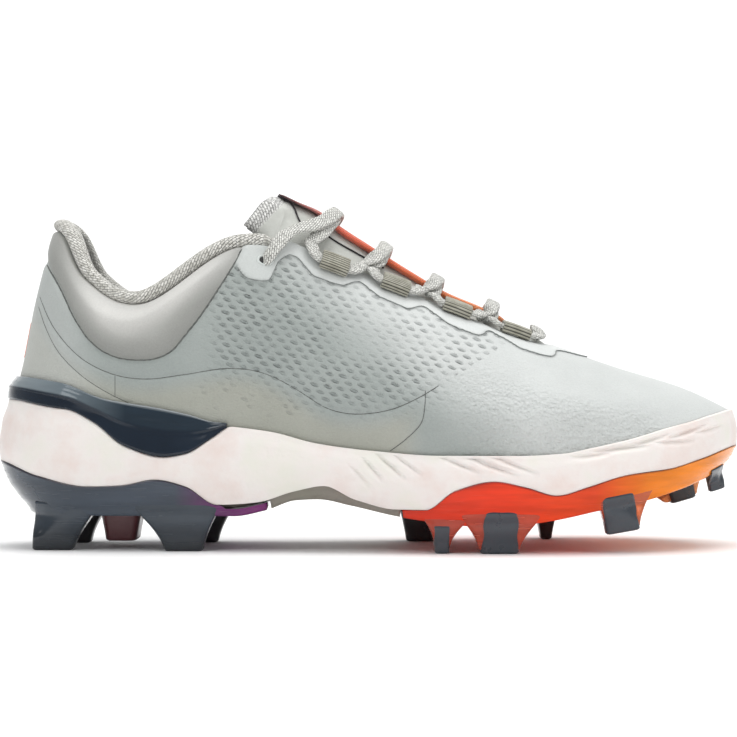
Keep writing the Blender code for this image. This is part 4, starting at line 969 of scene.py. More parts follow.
def upper_look():
    """Pale cool-grey textile: smooth collar and eyestay, crinkled toe, warmer lower quarter, with painted
    light, highlight and shade.
    """
    look = Look("upper", Roughness=0.62, Sheen_Weight=0.12, Sheen_Roughness=0.5)
    place = look.place()
    broad = look.noise(place, 28.0, 4.0)
    shades = {
        name: look.ramp(broad, (0.30, dark), (0.70, light)) for name, (dark, light) in UPPER_COLOURS.items()
    }
    colour = shades["base"]
    # Painted light: the pale tones where the side turns up; painted highlight: the bright tones on the
    # collar's top
    for mask in ("warm", "pale", "collar", "collar_painted_highlight"):
        colour = look.mix(look.mask(mask), colour, shades[mask])
    # Painted shade: the collar darkens toward its seam
    colour = look.mix(look.times(look.mask("hollow"), 0.45), colour, (0.17, 0.18, 0.165))
    # The eyestay goes from its darker rear tones to its paler front ones with the same painted light
    smooth = look.mix(look.mask("pale"), shades["rear"], shades["front"])
    colour = look.mix(look.mask("eyestay"), colour, smooth)
    grey = look.ramp(look.noise(place, 1500.0, 2.0), (0.35, 0.80), (0.62, 1.0))
    colour = look.shaded(colour, grey, 0.30)
    uneven = look.ramp(look.noise(place, 130.0, 2.0), (0.36, 0.35), (0.60, 1.0))
    pit = look.times(look.times(look.dimples(), look.mask("dimples")), uneven)
    # Painted shade: the dimples are coloured darker, on top of their bump
    colour = look.mix(look.times(pit, 0.46), colour, (0.130, 0.155, 0.150))
    look.colour(colour)
    look.bump(look.times(pit, -1.0), 0.0008)
    plain = look.sums("MAXIMUM", look.mask("collar"), look.mask("eyestay"))
    textured = look.minus(1.0, plain)
    weave = look.grain(place, (900.0, 900.0, 1500.0), 2.0)
    skin = look.times(look.cells(place, 700.0), look.mask("crinkle"))
    wrinkle = look.grain(place, (150.0, 150.0, 380.0), 4.0, (0.0, 0.5, 0.0))
    look.bump(look.times(wrinkle, look.mask("crinkle")), 0.0011)
    look.bump(look.times(weave, textured), 0.00022)
    look.bump(skin, 0.0005)
    look.bump(look.noise(place, 2600.0, 1.0), 0.00006)
    look.roughness(look.ramp(look.noise(place, 60.0), (0.3, 0.52), (0.7, 0.68)))
    return look.material


def knit_look(name, pale, dark, width, row, slant=0.6):
    """A heathered knit: short stitches in staggered rows, each with its own shade."""
    look = Look(name, Roughness=0.9, Sheen_Weight=0.25, Sheen_Roughness=0.6)
    chart = look.stretch(look.chart(), (1.0, 1.0, 1.0), (0.0, 0.0, slant))
    gaps = look.bricks(chart, width, row, 0.22 * row)
    blot = look.noise(chart, 1.1 / width, 2.0)
    tint = look.mix(look.ramp(blot, (0.40, 0.0), (0.60, 1.0)), dark, pale)
    shade = look.ramp(gaps, (0.0, 1.0), (1.0, 0.68))
    look.colour(look.shaded(tint, shade))
    look.bump(look.ramp(gaps, (0.0, 1.0), (1.0, 0.0)), 0.00055)
    look.bump(look.noise(look.chart(), 4000.0, 2.0), 0.00012)
    return look.material


def cloth_look(name, pale, dark, grain=1200.0, depth=0.00018, roughness=0.85):
    """A fine plain cloth with a soft mottle."""
    look = Look(name, Roughness=roughness, Sheen_Weight=0.2, Sheen_Roughness=0.5)
    place = look.place()
    look.colour(look.ramp(look.noise(place, 90.0, 6.0, 0.7), (0.35, dark), (0.65, pale)))
    look.bump(look.grain(place, (grain, grain, 1.6 * grain), 2.0), depth)
    return look.material


def line_look(name, colour):
    """A narrow sewn or cut line: dark, matt, with a thread's grain."""
    look = Look(name, Roughness=0.85)
    place = look.place()
    dark = tuple(0.6 * value for value in colour)
    look.colour(look.ramp(look.noise(place, 700.0, 2.0), (0.35, dark), (0.65, colour)))
    look.bump(look.noise(place, 3000.0, 1.0), 0.00010)
    return look.material


def foam_look():
    """Off-white moulded foam, faintly pink and cream, with a fine skin, and painted shade on its tucked-in
    foot and underside.
    """
    look = Look("midsole", Roughness=0.48, Subsurface_Weight=0.12, Subsurface_Scale=0.004)
    look.shader.inputs["Subsurface Radius"].default_value = (1.0, 0.75, 0.65)
    place = look.place()
    marble = look.noise(place, 45.0, 5.0, 0.6)
    cream = look.ramp(marble, *FOAM_STOPS)
    # Painted shade: the foam's tucked-in foot and underside darkened
    shade = look.ramp(look.mask("underside_painted_shade"), (0.0, 1.0), (1.0, (0.30, 0.29, 0.26)))
    look.colour(look.shaded(cream, shade))
    look.bump(look.noise(place, 900.0, 3.0), 0.00010)
    look.bump(look.noise(place, 130.0, 3.0), 0.00035)
    look.roughness(look.ramp(look.noise(place, 80.0), (0.3, 0.40), (0.7, 0.56)))
    return look.material


def gloss_look(name, stops, coat=0.4, roughness=0.16, low=-0.15, high=0.15, foot=1.0, **values):
    """Glossy moulded plastic whose colour runs along the shoe, with flow marks whose streaks also stand in
    for uneven highlights, darker at the foot, and painted shade along a plate's top edge.
    """
    look = Look(name, Roughness=roughness, Coat_Weight=coat, Coat_Roughness=0.05, **values)
    place = look.place()
    wander = look.minus(look.noise(place, 40.0, 2.0), 0.5)
    spot = look.plus(look.axis("X"), look.times(wander, 0.10 * (high - low)))
    share = look.times(look.minus(spot, low), 1.0 / (high - low))
    colour = look.ramp(share, *stops)
    # Flow marks: streaks that are partly the plastic's own and partly painted unevenness of its highlights
    flow = look.grain(place, (30.0, 30.0, 220.0), 3.0)
    colour = look.shaded(colour, look.ramp(flow, (0.35, 0.45), (0.65, 1.0)), 0.45)
    if foot < 1.0:
        level = look.times(look.axis("Z"), 1 / STUD_HEIGHT)
        colour = look.shaded(colour, look.ramp(level, (0.10, foot), (0.95, 1.0)))
    # Painted shade: a plate's top edge darkened where it meets the foam
    look.colour(look.mix(look.times(look.mask("plate_top_painted_shade"), 0.65), colour, (0.05, 0.03, 0.04)))
    scratch = look.grain(place, (60.0, 60.0, 900.0), 2.0, (0.0, 0.3, 0.0))
    look.roughness(look.ramp(scratch, (0.45, roughness), (0.72, roughness + 0.16)))
    look.bump(look.noise(place, 160.0, 2.0), 0.00012)
    return look.material


def tongue_look():
    """The tongue's plain cloth, and the heathered knit of its band."""
    look = Look("tongue_cloth", Roughness=0.85, Sheen_Weight=0.2, Sheen_Roughness=0.5)
    place = look.place()
    cloth = look.ramp(look.noise(place, 120.0, 4.0), (0.35, (0.49, 0.50, 0.465)), (0.65, (0.56, 0.57, 0.535)))
    chart = look.stretch(look.chart(), (1.0, 1.0, 1.0), (0.0, 0.0, 0.6))
    gaps = look.bricks(chart, 0.0020, 0.0011, 0.00026)
    blot = look.ramp(look.noise(chart, 600.0, 2.0), (0.42, (0.60, 0.60, 0.58)), (0.58, (0.88, 0.88, 0.85)))
    stitches = look.shaded(blot, look.ramp(gaps, (0.0, 1.0), (1.0, 0.72)))
    look.colour(look.mix(look.mask("knit"), cloth, stitches))
    look.bump(look.times(look.ramp(gaps, (0.0, 1.0), (1.0, 0.0)), look.mask("knit")), 0.0005)
    look.bump(look.grain(place, (1300.0, 1300.0, 1900.0), 2.0), 0.00016)
    return look.material


def ribbon_look():
    """A fine ribbed strip, near black at the tongue's top, then red, then orange."""
    look = Look("ribbon", Roughness=0.7, Sheen_Weight=0.3)
    share = look.times(look.plus(look.axis("X"), 0.045), 1.0 / 0.09)
    colour = look.ramp(share, *RIBBON_STOPS)
    ribs = look.bricks(look.chart(), 0.0016, 0.0009, 0.0002)
    look.colour(look.shaded(colour, look.ramp(ribs, (0.0, 1.0), (1.0, 0.6)), 0.5))
    look.bump(look.ramp(ribs, (0.0, 1.0), (1.0, 0.0)), 0.0004)
    return look.material


def webbing_look():
    """Drab webbing, with painted shade between its ribs."""
    look = Look("webbing", Roughness=0.9, Sheen_Weight=0.2)
    place = look.place()
    chart = look.chart()
    tint = look.ramp(look.noise(place, 300.0, 3.0), (0.35, (0.33, 0.32, 0.255)), (0.65, (0.45, 0.44, 0.37)))
    # Painted shade: the grooves between the ribs darkened
    groove = look.ramp(look.mask("rib"), (0.10, 0.16), (0.55, 0.95), (1.0, 1.0))
    look.colour(look.shaded(tint, groove))
    look.bump(look.grain(chart, (2500.0, 900.0, 1.0), 2.0), 0.00012)
    return look.material


def clip_look():
    """Glossy navy plastic with a pale band along its top that darkens forward, and a painted highlight on its
    top edge.
    """
    look = Look("clip", Roughness=0.13, Coat_Weight=0.35, Coat_Roughness=0.04, Specular_IOR_Level=0.25)
    place = look.place()
    dark = look.ramp(look.noise(place, 30.0, 2.0), *CLIP_STOPS)
    ahead = look.times(look.plus(look.axis("X"), 0.145), 1.0 / 0.085)
    pale = look.ramp(ahead, *CLIP_BAND_STOPS)
    flow = look.grain(place, (20.0, 20.0, 160.0), 3.0)
    pale = look.shaded(pale, look.ramp(flow, (0.35, 0.6), (0.65, 1.0)), 0.5)
    colour = look.mix(look.mask("band"), dark, pale)
    # Painted highlight: a pale line along the clip's top edge, the gloss's reflection on its bevel
    look.colour(look.mix(look.mask("edge"), colour, (0.42, 0.46, 0.48)))
    look.bump(look.noise(place, 120.0, 2.0), 0.00012)
    scratch = look.grain(place, (50.0, 50.0, 800.0), 2.0)
    look.roughness(look.ramp(scratch, (0.45, 0.10), (0.72, 0.26)))
    return look.material


# Pieces


def make_upper():
    """The hollow upper, with its relief, rounded edge, lining and turned-in foot."""
    relief, masks = upper_relief()
    outer = WALL.grid + WALL.normals * relief[:, :, None]
    inner = WALL.grid - WALL.normals * WALL.walls[:, :, None]
    sections, values = [], {name: [] for name in masks}
    for index, station in enumerate(ALL_ROWS):
        low, _ = upper_foot(station)
        wall = WALL.walls[index][-1] + relief[index][-1]
        normal, upward = WALL.normals[index][-1], WALL.upward[index][-1]
        crest = outer[index][-1]
        top = [
            crest + normal * (math.cos(angle) - 1) * wall / 2 + upward * math.sin(angle) * TOP_ROUND * wall
            for angle in np.linspace(0, math.pi, 9)[1:-1]
        ]
        lining = inner[index][::-1][:: LEVELS // 8]
        inset = foot_inset(station) + FOOT_DRAW
        turn = [
            bedded(station, inset + UPPER_WALL, CLEARANCE + UPPER_WALL),
            bedded(station, inset + LASTING_TURN, CLEARANCE + UPPER_WALL),
            bedded(station, inset + LASTING_TURN, CLEARANCE),
        ]
        sections.append([low, *outer[index], *top, *lining, *turn])
        rest = len(top) + len(lining) + len(turn)
        for name, mask in masks.items():
            values[name].append([0.0, *mask[index], *([mask[index][-1]] * rest)])
    grid = np.array(sections)
    values = {name: np.array(mask) for name, mask in values.items()}
    u, v = dimple_chart(*side_view(grid))
    chart = np.stack([u, v, np.zeros_like(u)], axis=-1)
    mesh = grid_mesh("upper_shell", grid, around=True, along_too=True, masks=values, chart=chart)
    face_column = np.tile(np.arange(grid.shape[1]), len(ALL_ROWS))
    inside_from = LEVELS + 6
    mesh.materials.append(upper_look())
    mesh.materials.append(cloth_look("lining", (0.36, 0.37, 0.365), (0.29, 0.30, 0.30), 900.0))
    mesh.polygons.foreach_set("material_index", (face_column >= inside_from).astype(np.int32))
    dress("upper_shell", mesh, None, ("upper",))
    return outer


def surface_tree(outer):
    """A tree of the upper's outer face, to throw lines onto."""
    rows, columns = outer.shape[:2]
    index = np.arange(rows * columns).reshape(rows, columns)
    second = np.roll(index, -1, axis=0)
    quads = np.stack([index[:, :-1], index[:, 1:], second[:, 1:], second[:, :-1]], axis=-1).reshape(-1, 4)
    return BVHTree.FromPolygons(outer.reshape(-1, 3).tolist(), quads.tolist())


def thrown(tree, x, z, side):
    """The place on the upper that an onlooker sees at x, z of the side view, from the outer or inner side."""
    eye = Vector((EYE.x, side * -EYE.y, EYE.z))
    toward = (Vector((x, 0.0, z)) - eye).normalized()
    spot, normal, _, _ = tree.ray_cast(eye, toward)
    if spot is None:
        return None
    return np.array(spot), np.array(normal if normal.y * side > 0 else -normal)


def make_seams(tree):
    """The thin sewn and cut lines of the quarter, heel counter and toe, on both sides."""
    material = line_look("seam_line", (0.16, 0.17, 0.16))
    widths = (("collar", COLLAR_SEAM, 0.9), ("quarter", QUARTER_SEAM, 0.40), ("counter", COUNTER_SEAM, 0.34),
              ("counter_join", COUNTER_JOIN, 0.30), ("toe", TOE_SEAM, 0.38))
    for name, table, width in widths:
        for side, word in SIDES:
            chart = even(through([(a * MM, 0.0, b * MM) for a, b in table], 8), 120)
            spots = [spot for spot in (thrown(tree, x, z, side) for x, _, z in chart) if spot]
            points = np.array([spot for spot, _ in spots])
            normals = np.array([normal for _, normal in spots])
            keep = np.concatenate([[True], np.linalg.norm(np.diff(points, axis=0), axis=1) > 1e-5])
            points, normals = points[keep], normals[keep]
            grid = tube_grid(points - normals * 0.12 * MM, normals, width * MM, SEAM_HEIGHT, 8)
            dress(f"seam_{name}_{word}", grid_mesh(name, grid, around=True, capped=True), material)


def make_eyestay_line(outer):
    """The thin line around the eyestay's overlay."""
    points, normals = [], []
    first = station_at(EDGE_POINTS, OVERLAY_REAR)
    last = LOOP_ROWS - first
    for station in np.linspace(first, last, 900):
        to_top, face = WALL.at(WALL.to_top, station), WALL.at(outer, station)
        depth = overlay_depth(min(station, LOOP_ROWS - station))
        points.append(read(face, -to_top, -depth))
        normals.append(read(WALL.at(WALL.normals, station), -to_top, -depth))
    points = np.array(points) + 0.22 * MM * np.array(normals)
    grid = tube_grid(even(points, 900), normals, OVERLAY_LINE_WIDTH, OVERLAY_LINE_HEIGHT, 6)
    material = line_look("overlay_line", (0.30, 0.32, 0.31))
    dress("eyestay_line", grid_mesh("eyestay_line", grid, around=True, capped=True), material)


def make_binding():
    """The mottled knit roll around the collar, ending in front of the top eyelets."""
    last = station_at(EDGE_POINTS, BINDING_END - 0.006 * SHOE_LENGTH)
    stations = np.linspace(-last, last, 420)
    points, normals, widths = [], [], []
    for station in stations:
        top = WALL.at(WALL.grid, station)[-1] + WALL.at(WALL.normals, station)[-1] * EYESTAY_STEP
        normal, upward = WALL.at(WALL.normals, station)[-1], WALL.at(WALL.upward, station)[-1]
        edge = ring_at(EDGE_POINTS, station + 0.02) - ring_at(EDGE_POINTS, station - 0.02)
        edge /= np.linalg.norm(edge)
        upward = upward - np.dot(upward, edge) * edge
        upward /= np.linalg.norm(upward)
        wall = top_wall(station) + EYESTAY_STEP
        points.append(top - normal * wall / 2 + upward * (TOP_ROUND * wall + 0.44 * BINDING_DIAMETER))
        normals.append(upward)
        widths.append(max(wall, BINDING_DIAMETER))
    ends = rounded_ends(len(stations), 6)
    grid = tube_grid(points, normals, np.array(widths) * ends * 1.04, BINDING_DIAMETER * 1.12 * ends, 28)
    chart = chart_of(grid)
    mesh = grid_mesh("collar_roll", grid, around=True, capped=True, chart=chart)
    material = knit_look("collar_knit", (0.84, 0.83, 0.78), (0.56, 0.55, 0.50), 0.0021, 0.00105)
    dress("collar_roll", mesh, material, ("collar_binding",), flip=True)


def crown_at(row):
    x = line([(entry[0], entry[1]) for entry in TONGUE_CROWN], row, SHOE_LENGTH)
    z = line([(entry[0], entry[2]) for entry in TONGUE_CROWN], row, INSTEP_HEIGHT)
    return np.array([x, 0.0, footbed(0.0) + z])


def under_edge(station, depth):
    """A place on the inside of the upper's wall, this far below the throat's edge."""
    normals = WALL.at(WALL.normals, station)
    inner = WALL.at(WALL.grid, station) - normals * WALL.at(WALL.walls, station)[:, None]
    return along(inner[::-1], depth) - normals[-1] * 1.6 * CLEARANCE


def across_tongue(spots):
    """Points across the tongue, through its two laps, the two edges of the throat and the crown."""
    if len(spots) == 3:
        first, crown, last = spots
        edges = [end * 0.25 + crown * 0.75 for end in (first, last)]
        for edge, end in zip(edges, (first, last)):
            edge[1] = 0.72 * end[1]
        spots = [first, edges[0], crown, edges[1], last]
    first, near, crown, far, last = spots
    if np.allclose(near, far, atol=1e-4):
        return np.concatenate([np.linspace(first, near, 25), np.linspace(far, last, 25)[1:]])
    arch = through([near, crown, far], 12)
    shares = np.interp(np.linspace(0, 4, 33), range(5), (0.0, 0.17, 0.5, 0.83, 1.0))
    middle = along(arch, run_of(arch)[-1] * shares)
    return np.concatenate([np.linspace(first, near, 9)[:-1], middle, np.linspace(far, last, 9)[1:]])


class TongueFace:
    """The tongue's outer face, read by row and by the solids' own nine columns across."""

    def __init__(self):
        base = footbed(0.0)
        rows = []
        for crown_x, crown_z, side_x, side_z, half in TONGUE_TOP[::-1]:
            crown = np.array([crown_x * SHOE_LENGTH, 0.0, base + crown_z * INSTEP_HEIGHT])
            ends = [
                np.array([side_x * SHOE_LENGTH, side * half * WAIST_WIDTH, base + side_z * INSTEP_HEIGHT])
                for side in (-1, 1)
            ]
            rows.append(across_tongue([ends[0], crown, ends[1]]))
        for row in TONGUE_ROWS:
            other = LOOP_ROWS - row
            crown = crown_at(row) if row < HALF_TURN else under_edge(row, 0.0)
            near = [under_edge(row, depth) for depth in (TONGUE_LAP, 0.0)]
            far = [under_edge(other, depth) for depth in (0.0, TONGUE_LAP)]
            rows.append(across_tongue([*near, crown, *far]))
        columns = np.array(rows).transpose(1, 0, 2)
        self.grid = np.array([through(column, TONGUE_STEPS) for column in columns]).transpose(1, 0, 2)
        self.normals, _ = normals_of(self.grid, closed=False)
        middle = self.normals[30, self.normals.shape[1] // 2]
        if middle[2] < 0:
            self.normals = -self.normals
        self.normals[-TONGUE_STEPS:] = self.normals[-TONGUE_STEPS - 1]

    def row_of(self, x):
        station = station_at(EDGE_POINTS, x)
        rows = range(len(TONGUE_TOP), len(TONGUE_TOP) + len(TONGUE_ROWS))
        return float(np.interp(station, TONGUE_ROWS, rows))

    def at(self, row, column):
        """Point and outward direction at a row and a column of the solids."""
        r = min(row * TONGUE_STEPS, len(self.grid) - 1.001)
        c = min(column / 2 * 8 if column <= 2 else 8 + (column - 2) * 8, self.grid.shape[1] - 1.001)
        if column > 6:
            c = 40 + (column - 6) / 2 * 8
        values = []
        for array in (self.grid, self.normals):
            i, j = int(r), int(c)
            s, t = r - i, c - j
            near = array[i, j] * (1 - t) + array[i, j + 1] * t
            far = array[i + 1, j] * (1 - t) + array[i + 1, j + 1] * t
            values.append(near * (1 - s) + far * s)
        return values[0], values[1] / np.linalg.norm(values[1])


def make_tongue(face):
    """The padded tongue, plump and rolled at its free end, with a knit band along its top."""
    rows, columns = face.grid.shape[:2]
    down = np.linspace(0, 1, rows)[:, None]
    across = np.abs(np.linspace(-1, 1, columns))[None, :]
    roll = np.sqrt(np.clip(1 - (1 - np.clip(down * rows / ROLL_ROWS, 0, 1)) ** 2, 0, 1))
    side = np.sqrt(np.clip(1 - np.clip((across - 1 + SIDE_ROLL) / SIDE_ROLL, 0, 1) ** 2, 0, 1))
    plump = roll * np.maximum(side, 0.15)
    quilt = 0.35 * MM * rough(face.grid, 15 * MM, 3.1)
    piping = 0.4 * MM * np.exp(-(((down * rows - BAND_ROWS) / 1.2) ** 2))
    outer = face.grid - face.normals * (TONGUE_THICKNESS / 2 * (1 - plump))[:, :, None]
    outer += face.normals * (np.clip(quilt, -0.3 * MM, 0.1 * MM) - piping)[:, :, None]
    lower = face.grid - face.normals * (TONGUE_THICKNESS / 2 * (1 + plump))[:, :, None]
    grid = np.concatenate([outer, lower[:, ::-1]], axis=1)
    knit = smooth_step((BAND_ROWS - np.arange(rows)) / 1.2 + 0.5)[:, None] * np.ones((1, columns * 2))
    mesh = grid_mesh("tongue_pad", grid, around=True, capped=True, masks={"knit": knit}, chart=chart_of(grid))
    piece = dress("tongue_pad", mesh, tongue_look(), ("tongue",))


def make_strip(face):
    """The raised strip along the crown, dark at the top, then red, then orange, with a dark piping."""
    end = face.row_of(LOOP_XS[-1])
    rows = np.linspace(0.35, end, 150)
    points, normals = zip(*(face.at(row, CROWN_COLUMN) for row in rows))
    points, normals = np.array(points), np.array(normals)
    ends = rounded_ends(len(rows), 5, 0.5)
    grown = 0.35 + 0.65 * smooth_step((points[:, 0] + 30 * MM) / (22 * MM))
    height = STRIP_RISE * grown * ends
    grid = tube_grid(points + normals * 0.5 * MM, normals, STRIP_WIDTH * ends, height, 28, 0.75)
    mesh = grid_mesh("tongue_ribbon", grid, around=True, capped=True, chart=chart_of(grid))
    dress("tongue_ribbon", mesh, ribbon_look(), ("tongue_strip",))
    dark = line_look("piping", (0.03, 0.025, 0.03))
    reach = len(rows) * 3 // 5
    for side, word in SIDES:
        edge = [face.at(row, CROWN_COLUMN + side * PIPING_COLUMN) for row in rows[:reach]]
        spots = np.array([spot for spot, _ in edge])
        ways = np.array([way for _, way in edge])
        grid = tube_grid(spots + ways * 0.35 * MM, ways, PIPING_WIDTH, PIPING_HEIGHT, 8)
        dress(f"tongue_piping_{word}", grid_mesh("piping", grid, around=True, capped=True), dark)


def on_band(x, side, depth):
    """A place on the eyestay: its point, the direction along the edge, and outward, at x on the edge."""
    station = on_side(station_at(EDGE_POINTS, x), side)

    def place(s):
        spot = read(WALL.at(WALL.grid, s), -WALL.at(WALL.to_top, s), -depth)
        return spot + WALL.at(WALL.normals, s)[-4] * EYESTAY_STEP

    ahead = place(station + 0.05) - place(station - 0.05)
    ahead *= (1 if side < 0 else -1) / np.linalg.norm(ahead)
    normal = WALL.at(WALL.normals, station)[-8]
    normal = normal - np.dot(normal, ahead) * ahead
    return place(station), ahead, normal / np.linalg.norm(normal)


def loop_place(x, side):
    point, ahead, normal = on_band(x, side, LOOP_DEPTH)
    tall = LOOP_TUNNEL + 2 * LOOP_WALL
    return point + normal * (2.0 * CLEARANCE + tall / 2), ahead, normal, tall


LOOP_RIBS = 18


def make_loops():
    """The ribbed webbing loops that the lace runs through."""
    material = webbing_look()
    angles = 2 * math.pi * (np.arange(140) + 0.5) / 140
    wide, tall_share = np.cos(angles), np.sin(angles)
    stretch = np.maximum(np.abs(wide), np.abs(tall_share)) ** -0.7
    for side, word in SIDES:
        for number, x in enumerate(LOOP_XS, 1):
            point, ahead, normal, tall = loop_place(x, side)
            across = np.cross(normal, ahead)
            rings = []
            path = [(LOOP_WALL, end) for end in np.linspace(0.5, -0.5, 9)] + [(0, -0.5)]
            path += [(-0.25 * LOOP_WALL, end) for end in np.linspace(-0.47, 0.47, 17)] + [(0, 0.5)]
            around = np.stack([wide * stretch * LOOP_WIDTH / 2, tall_share * stretch * tall / 2], axis=1)
            reach = run_of(np.concatenate([around, around[:1]]))
            ribs = 0.5 + 0.5 * np.cos(2 * math.pi * LOOP_RIBS * reach[:-1] / reach[-1])
            for wall, end in path:
                swell = 0.30 * MM * ribs if wall < LOOP_WALL else np.zeros(len(ribs))
                sag = 0.12 * tall * (1 - (2 * end) ** 2)
                sides = wide * stretch * (LOOP_WIDTH / 2 - wall) + swell * wide
                levels = tall_share * stretch * (tall / 2 - wall) + swell * tall_share + sag * 0.3
                middle = point + ahead * end * LOOP_LENGTH
                rings.append(middle + across * sides[:, None] + normal * levels[:, None])
            grid = np.array(rings)
            name = f"lace_webbing_{word}_{number}"
            masks = {"rib": np.broadcast_to(ribs, grid.shape[:2])}
            mesh = grid_mesh(name, grid, around=True, along_too=True, chart=chart_of(grid), masks=masks)
            dress(name, mesh, material, (f"lace_loop_{word}_{number}",), flip=side > 0)


def over_edge(x, side):
    station = on_side(station_at(EDGE_POINTS, x), side)
    top = WALL.at(WALL.grid, station)[-1] + WALL.at(WALL.normals, station)[-1] * EYESTAY_STEP
    away = WALL.at(WALL.normals, station)[-1] + WALL.at(WALL.upward, station)[-1]
    away /= np.linalg.norm(away)
    rise = TOP_ROUND * top_wall(station) + LACE_THICKNESS / 2 + 4 * CLEARANCE
    return top + away * rise, away


LACE_TURN = 0.66 * LACE_WIDTH
LACE_BEND = math.radians(70)
LACE_SQUARE = 0.72
LACE_WOBBLE = 0.05
LACE_WAVE = 0.0021


def lace_half(x, side, end):
    """The lace from inside a loop or the eyelet, out of its mouth and over the throat's edge."""
    if x == EYELET_X:
        hole, ahead, normal = on_band(EYELET_X, side, EYELET_DEPTH)
        over, over_way = over_edge(hole[0] + 8.5 * MM, side)
        points = [hole - normal * 1.6 * MM, hole + normal * 0.6 * MM + ahead * 0.6 * MM]
        points += [hole * 0.62 + over * 0.38 + normal * 2.4 * MM, over + over_way * 0.8 * MM]
        ways = [-ahead * 0.7 + normal * 0.4, normal, normal, over_way]
        return points, ways, [0.62, 0.74, 0.92, 1.0]
    spot, ahead, normal, _ = loop_place(x, side)
    out = ahead * end
    start = spot + out * (LOOP_LENGTH / 2 + 2 * CLEARANCE)
    over, over_way = over_edge(start[0] + end * 1.15 * LACE_TURN, side)
    toward = over - start
    for direction in (out, normal):
        toward = toward - np.dot(toward, direction) * direction
    toward /= np.linalg.norm(toward)
    points, ways = [spot], [normal]
    for share in (0.0, 0.33, 0.67, 1.0):
        angle = share * LACE_BEND
        sweep = out * math.sin(angle) + toward * (1 - math.cos(angle))
        points.append(start + sweep * LACE_TURN + normal * 3 * CLEARANCE * share)
        ways.append(normal)
    return points + [over], ways + [over_way], [0.78, 0.80, 0.80, 0.82, 0.88, 0.97]


def make_lace(name, material, face, first, last, lift, nodes):
    """One flat lace from a loop on one side, over the tongue, to a loop on the other."""
    (x_first, side, end_first), (x_last, _, end_last) = first, last
    near, near_ways, near_widths = lace_half(x_first, side, end_first)
    far, far_ways, far_widths = lace_half(x_last, -side, end_last)
    columns = (3.3, 4.0, 4.7) if side < 0 else (4.7, 4.0, 3.3)
    middle, middle_ways = [], []
    for share, column in zip((0.30, 0.5, 0.70), columns):
        point, normal = face.at(face.row_of(near[-1][0] * (1 - share) + far[-1][0] * share), column)
        proud = STRIP_THICKNESS + 4 * CLEARANCE + lift * LACE_THICKNESS
        middle.append(point + normal * (LACE_THICKNESS / 2 + 2 * CLEARANCE + proud))
        middle_ways.append(normal)
    knots = near + middle + far[::-1]
    ways = np.array(near_ways + middle_ways + far_ways[::-1])
    widths = np.array(near_widths + [1.0] * 3 + far_widths[::-1])
    path = through(knots, 10)
    spread = np.linspace(0, len(knots) - 1, len(path))
    normals = read(ways, range(len(knots)), spread)
    width = np.interp(spread, range(len(knots)), widths) * LACE_WIDTH
    wobble = 1 + LACE_WOBBLE * np.sin(run_of(path) / LACE_WAVE + x_first * 900)
    grid = tube_grid(path, normals, width * wobble, LACE_THICKNESS, 24, LACE_SQUARE)
    mesh = grid_mesh(name, grid, around=True, capped=True, chart=chart_of(grid))
    dress(name, mesh, material, nodes)


def make_laces(face):
    """The lace: four crossings and the bar at the foot of the throat."""
    material = knit_look("lace_weave", (0.86, 0.86, 0.81), (0.62, 0.62, 0.58), 0.0017, 0.0009, 0.5)
    xs = (EYELET_X, *LOOP_XS)
    for number, (rear, front) in enumerate(zip(xs, xs[1:]), 1):
        nodes = (f"lace_crossing_{number}",)
        make_lace(f"lace_{number}_over", material, face, (rear, -1, 1), (front, 1, -1), 1.05, nodes)
        make_lace(f"lace_{number}_under", material, face, (rear, 1, 1), (front, -1, -1), 0.0, nodes)
    last = LOOP_XS[-1]
    make_lace("lace_foot_bar", material, face, (last, -1, 1), (last, 1, 1), 0.0, ("lace_bar",))


def make_eyelets():
    """The rims of the two punched eyelets, with a dark disc in each as painted shadow."""
    rim_look = cloth_look("eyelet_rim", (0.66, 0.70, 0.68), (0.58, 0.62, 0.60), 1500.0)
    # The dark disc inside each eyelet is painted shadow
    hole_shadow_look = line_look("eyelet_painted_shadow", (0.05, 0.05, 0.05))
    for side, word in SIDES:
        point, ahead, normal = on_band(EYELET_X, side, EYELET_DEPTH)
        across = np.cross(normal, ahead)
        angles = np.linspace(0, 2 * math.pi, 40, endpoint=False)
        ring = point + ahead * np.cos(angles)[:, None] * 0.62 * EYELET_LENGTH
        ring = ring + across * np.sin(angles)[:, None] * 0.72 * EYELET_WIDTH
        sections = []
        for reach, rise in ((1.25, 0.0), (1.12, 0.30), (0.98, 0.34), (0.86, 0.12), (0.80, -0.5)):
            sections.append(point + (ring - point) * reach + normal * rise * MM)
        mesh = grid_mesh("eyelet", np.array(sections), around=True)
        dress(f"eyelet_rim_{word}", mesh, rim_look, flip=True)
        # Painted shadow: a dark disc set inside the hole
        disc = np.array([point + (ring - point) * reach + normal * 0.05 * MM for reach in (0.9, 0.4, 0.02)])
        dress(f"eyelet_painted_shadow_{word}", grid_mesh("hole", disc, around=True), hole_shadow_look, flip=True)


def wave(x):
    return max(height(WAVE_LINE, x), under(x) + 0.6 * PLATE_FLOOR)


def plated(x):
    """Whether a plate covers the foam's foot here."""
    reach = 0.85 * PLATE_END_GAP
    return x < HEEL_PLATE_END + reach or x > FORE_PLATE_START - reach


def plate_top(x):
    if x > 0:
        return max(wave(x), under(x) + PLATE_FLOOR)
    tail = under(x) + PLATE_FLOOR + max(0.0, PLATE_TAIL - x)
    return min(max(wave(x), under(x) + PLATE_FLOOR), tail)


